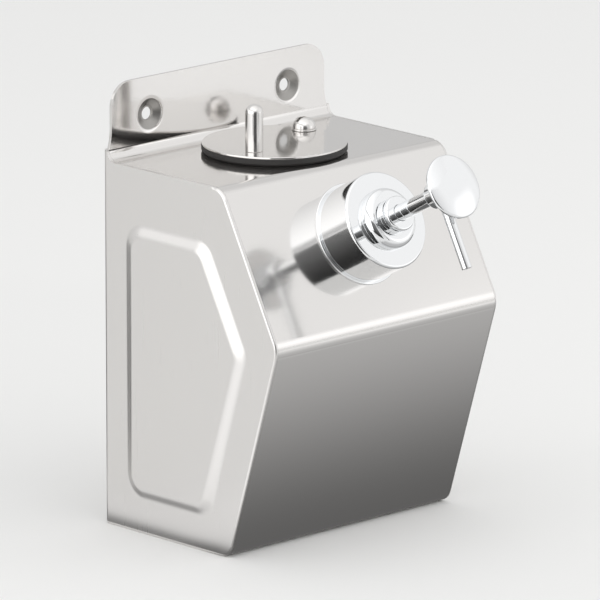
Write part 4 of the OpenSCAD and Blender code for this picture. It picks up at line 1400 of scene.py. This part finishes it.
class DISPENSER_OT_stage(bpy.types.Operator):
    """Sets up the floor, the studio light and the camera"""

    bl_idname = "dispenser.stage"
    bl_label = "Stage"

    def execute(self, context):
        stage = context.scene.dispenser_stage
        context.scene.view_settings.view_transform = "Standard"
        self.lay_floor(context)
        self.stand_cards(context)
        self.set_surround(context, stage)
        self.hang_lights(stage)
        self.set_camera(context, stage)
        return {"FINISHED"}

    def lay_floor(self, context):
        """A paper floor under the tank."""
        across = 14
        floor = begin("floor", bpy.ops.mesh.primitive_plane_add, size=across, location=(0, 0, CAD_BOX[0][2]))
        bpy.ops.mesh.subdivide(number_cuts=8)
        close_piece()
        place(floor, floor.matrix_world.copy())
        floor.data.materials.append(the_material(paper_floor, context))

    def stand_cards(self, context):
        """Cards that only mirrors see, in metres: painted reflections of floor in shade and in light, of the
        room's walls and of the softboxes.
        """
        tank = context.scene.dispenser_tank
        ground = CAD_BOX[0][2] + MM
        side = -tank.width / 2
        front = -tank.base_depth
        barrel = middle("pump_barrel")
        quarter, half = math.pi / 2, math.pi
        # The floor in front, painted: shade at the tank's foot, and paler further out
        self.stand(
            "front_apron", size=(0.5, 0.15), centre=(side + 0.235, front - 0.045, ground),
            tilt=(0, 0, half), levels=(0.15, 0.58), grade=(-0.045, 0.055), fade=0.02
        )
        self.stand(
            "front_floor", size=(0.6, 0.32), centre=(side + 0.285, front - 0.2, ground - 0.5 * MM),
            tilt=(0, 0, half), levels=(0.5, 0.9), grade=(-0.12, 0.12), fade=0.03
        )
        # A painted bright floor at the left, which keeps the bevel's highlight whole at the pressing's front
        # corner
        self.stand(
            "knee_bounce", size=(0.44, 0.18), centre=(side - 0.43, -0.14, ground),
            levels=(1.5, 1.5), fade=0.04
        )
        # Two walls behind: a bright one for the side, and a grey one for the top and the lid
        self.stand(
            "rear_left_card", size=(0.9, 0.6), centre=(-0.72, 0.77, ground + 0.62),
            faces=middle("left_side_panel"), levels=(1.15, 1.15), fade=0.2
        )
        self.stand(
            "rear_right_card", size=(1.6, 0.9), centre=(0.85, 0.85, ground + 0.42),
            faces=middle("filler_lid"), levels=(0.68, 0.68), fade=0.2
        )
        # The floor in shade: a narrow line at the foot of the side, and a wide patch behind the tank
        self.stand(
            "side_apron", size=(0.115, 0.05), centre=(side - 0.005, -0.0125, ground - 0.2 * MM),
            tilt=(0, 0, quarter), levels=(0.25, 0.86), grade=(-0.002, 0.006), fade=0.008
        )
        self.stand(
            "rear_apron", size=(0.35, 0.6), centre=(side + 0.014, 0.347, ground),
            tilt=(0, 0, math.radians(28)), levels=(0.1, 0.3), fade=0.05
        )
        # The floor further out: lit beside the tank and at the front right, in shade at the front left
        self.stand(
            "side_bounce", size=(0.25, 0.17), centre=(side - 0.14, -0.055, ground),
            tilt=(0, 0, half), levels=(0.84, 1.25), grade=(-0.07, 0.05), fade=0.03
        )
        self.stand(
            "front_bounce", size=(0.4, 0.26), centre=(0.42, -0.44, ground), levels=(1.05, 1.05), fade=0.05
        )
        self.stand(
            "front_shade", size=(0.3, 0.3), centre=(-0.43, -0.38, ground), levels=(0.15, 0.15), fade=0.05
        )
        # A bright wall at the left for the side, and a small bright card for the fold
        self.stand(
            "left_card", size=(1.2, 0.8), centre=(-0.7, -0.12, ground + 0.25),
            tilt=(quarter, 0, -quarter), levels=(1.5, 1.8), grade=(-0.25, 0), fade=0.1
        )
        self.stand(
            "fold_card", size=(0.26, 0.2), centre=(0.21, -0.32, ground + 0.15),
            tilt=(quarter, 0, math.pi / 4), levels=(1.4, 1.4), fade=0.09
        )
        # The two softboxes, as mirrors see them
        self.stand(
            "right_card", size=(3.2, 2.8), centre=(1.15, -1.05, 0.78), faces=barrel,
            levels=(1.04, 1.04), fade=0.8
        )
        self.stand(
            "ceiling_card", size=(2.6, 2.4), centre=(-0.15, -0.5, 1.15),
            tilt=(0, half, quarter), levels=(1.0, 1.7), fade=0.3
        )
        # A dark flag beside the camera, which draws the dark band down the barrel
        away = math.radians(-34.5)
        tall, reach = 0.28, 0.3
        beside = barrel + reach * Vector((math.sin(away), -math.cos(away), 0))
        self.stand(
            "camera_flag", size=(0.25, tall), centre=(beside.x, beside.y, ground + tall / 2),
            tilt=(quarter, 0, away), levels=(0.02, 0.22), fade=0.01
        )

    def stand(self, name, size, centre, levels, fade, tilt=(0, 0, 0), faces=None, grade=None):
        """Stands one card, seen by mirrors alone: tilted, or turned to what it faces."""
        card = begin(name, bpy.ops.mesh.primitive_plane_add, size=1)
        bpy.ops.transform.resize(value=(*size, 1))
        close_piece()
        card.rotation_euler = tilt if faces is None else self.facing(faces, centre)
        card.location = centre
        whole = (-size[1] / 2, size[1] / 2)
        card.data.materials.append(soft_card(name, size, levels, grade or whole, fade))
        card.visible_camera = False
        card.visible_diffuse = False
        card.visible_shadow = False

    def facing(self, target, spot):
        """Turn of a lamp or card at a spot so that it faces a target."""
        return (target - Vector(spot)).to_track_quat("-Z", "Y").to_euler()

    def set_surround(self, context, stage):
        """The studio's pale walls, as the world."""
        world = bpy.data.worlds.new("studio")
        world.use_nodes = True
        tree = world.node_tree
        tree.nodes.clear()
        walls = add_node(tree, "ShaderNodeBackground", {"Color": (1, 1, 1, 1), "Strength": stage.walls})
        add_node(tree, "ShaderNodeOutputWorld", links={"Surface": (walls, "Background")})
        context.scene.world = world

    def hang_lights(self, stage):
        """Softboxes overhead and at the front right, out of the camera's sight."""
        self.hang("top_softbox", stage.top_light, wide=2.4, high=2.4, spot=(-0.15, -0.5, 1.2))
        self.hang("right_softbox", stage.right_light, wide=2.8, high=2.4, spot=(1.2, -1.1, 0.8))

    def hang(self, name, level, wide, high, spot):
        """Hangs one softbox, turned to the pump. Mirrors see the cards in its place."""
        lamp = bpy.data.lights.new(name, "AREA")
        lamp.shape = "RECTANGLE"
        lamp.size, lamp.size_y = wide, high
        lamp.energy = level * math.pi * wide * high
        holder = bpy.data.objects.new(name, lamp)
        holder.location = spot
        holder.rotation_euler = self.facing(middle("pump_barrel"), spot)
        holder.visible_camera = False
        holder.visible_glossy = False
        bpy.context.scene.collection.objects.link(holder)

    def set_camera(self, context, stage):
        """A long lens at the photograph's angle."""
        flat = math.cos(stage.elevation)
        back = Vector((
            math.sin(stage.azimuth) * flat, -math.cos(stage.azimuth) * flat, math.sin(stage.elevation)
        ))
        camera = bpy.data.objects.new("camera", bpy.data.cameras.new("camera"))
        camera.data.lens = stage.lens
        camera.data.sensor_width = 36
        camera.data.clip_end = 50
        camera.location = Vector(stage.aim) + back * stage.distance
        camera.rotation_euler = (-back).to_track_quat("-Z", "Y").to_euler()
        context.scene.collection.objects.link(camera)
        context.scene.camera = camera


class DISPENSER_PT_panel(bpy.types.Panel):
    """Lists the pieces of the dispenser"""

    bl_idname = "DISPENSER_PT_panel"
    bl_label = "Soap dispenser"
    bl_space_type = "VIEW_3D"
    bl_region_type = "UI"
    bl_category = "Dispenser"

    def draw(self, context):
        for operator in OPERATORS:
            self.layout.operator(operator.bl_idname)
        for name in GROUPS:
            box = self.layout.box()
            group = getattr(context.scene, name)
            for key in group.bl_rna.properties.keys():
                if key not in ("rna_type", "name"):
                    box.prop(group, key)


GROUPS = {
    "dispenser_tank": TankSizes,
    "dispenser_flange": FlangeSizes,
    "dispenser_pressing": PressingSizes,
    "dispenser_lid": LidSizes,
    "dispenser_pump": PumpSizes,
    "dispenser_colours": FinishColours,
    "dispenser_stage": StageSettings,
}
OPERATORS = [
    DISPENSER_OT_stage,
    DISPENSER_OT_front_wrap,
    DISPENSER_OT_side_panels,
    DISPENSER_OT_filler_lid,
    DISPENSER_OT_lid_pivot,
    DISPENSER_OT_pump_body,
    DISPENSER_OT_plunger,
    DISPENSER_OT_return_spring,
    DISPENSER_OT_inner_pieces,
]


def register():
    """Registers the classes and hangs the sizes on the scene."""
    for made in (*GROUPS.values(), *OPERATORS, DISPENSER_PT_panel):
        bpy.utils.register_class(made)
    for name, group in GROUPS.items():
        setattr(bpy.types.Scene, name, bpy.props.PointerProperty(type=group))


def unregister():
    """Takes the sizes off the scene and removes the classes."""
    for name in GROUPS:
        delattr(bpy.types.Scene, name)
    for made in (DISPENSER_PT_panel, *reversed(OPERATORS), *reversed(GROUPS.values())):
        bpy.utils.unregister_class(made)


def main():
    """Models every piece in order."""
    register()
    for operator in OPERATORS:
        group, name = operator.bl_idname.split(".")
        getattr(getattr(bpy.ops, group), name)()


if __name__ == "__main__":
    main()
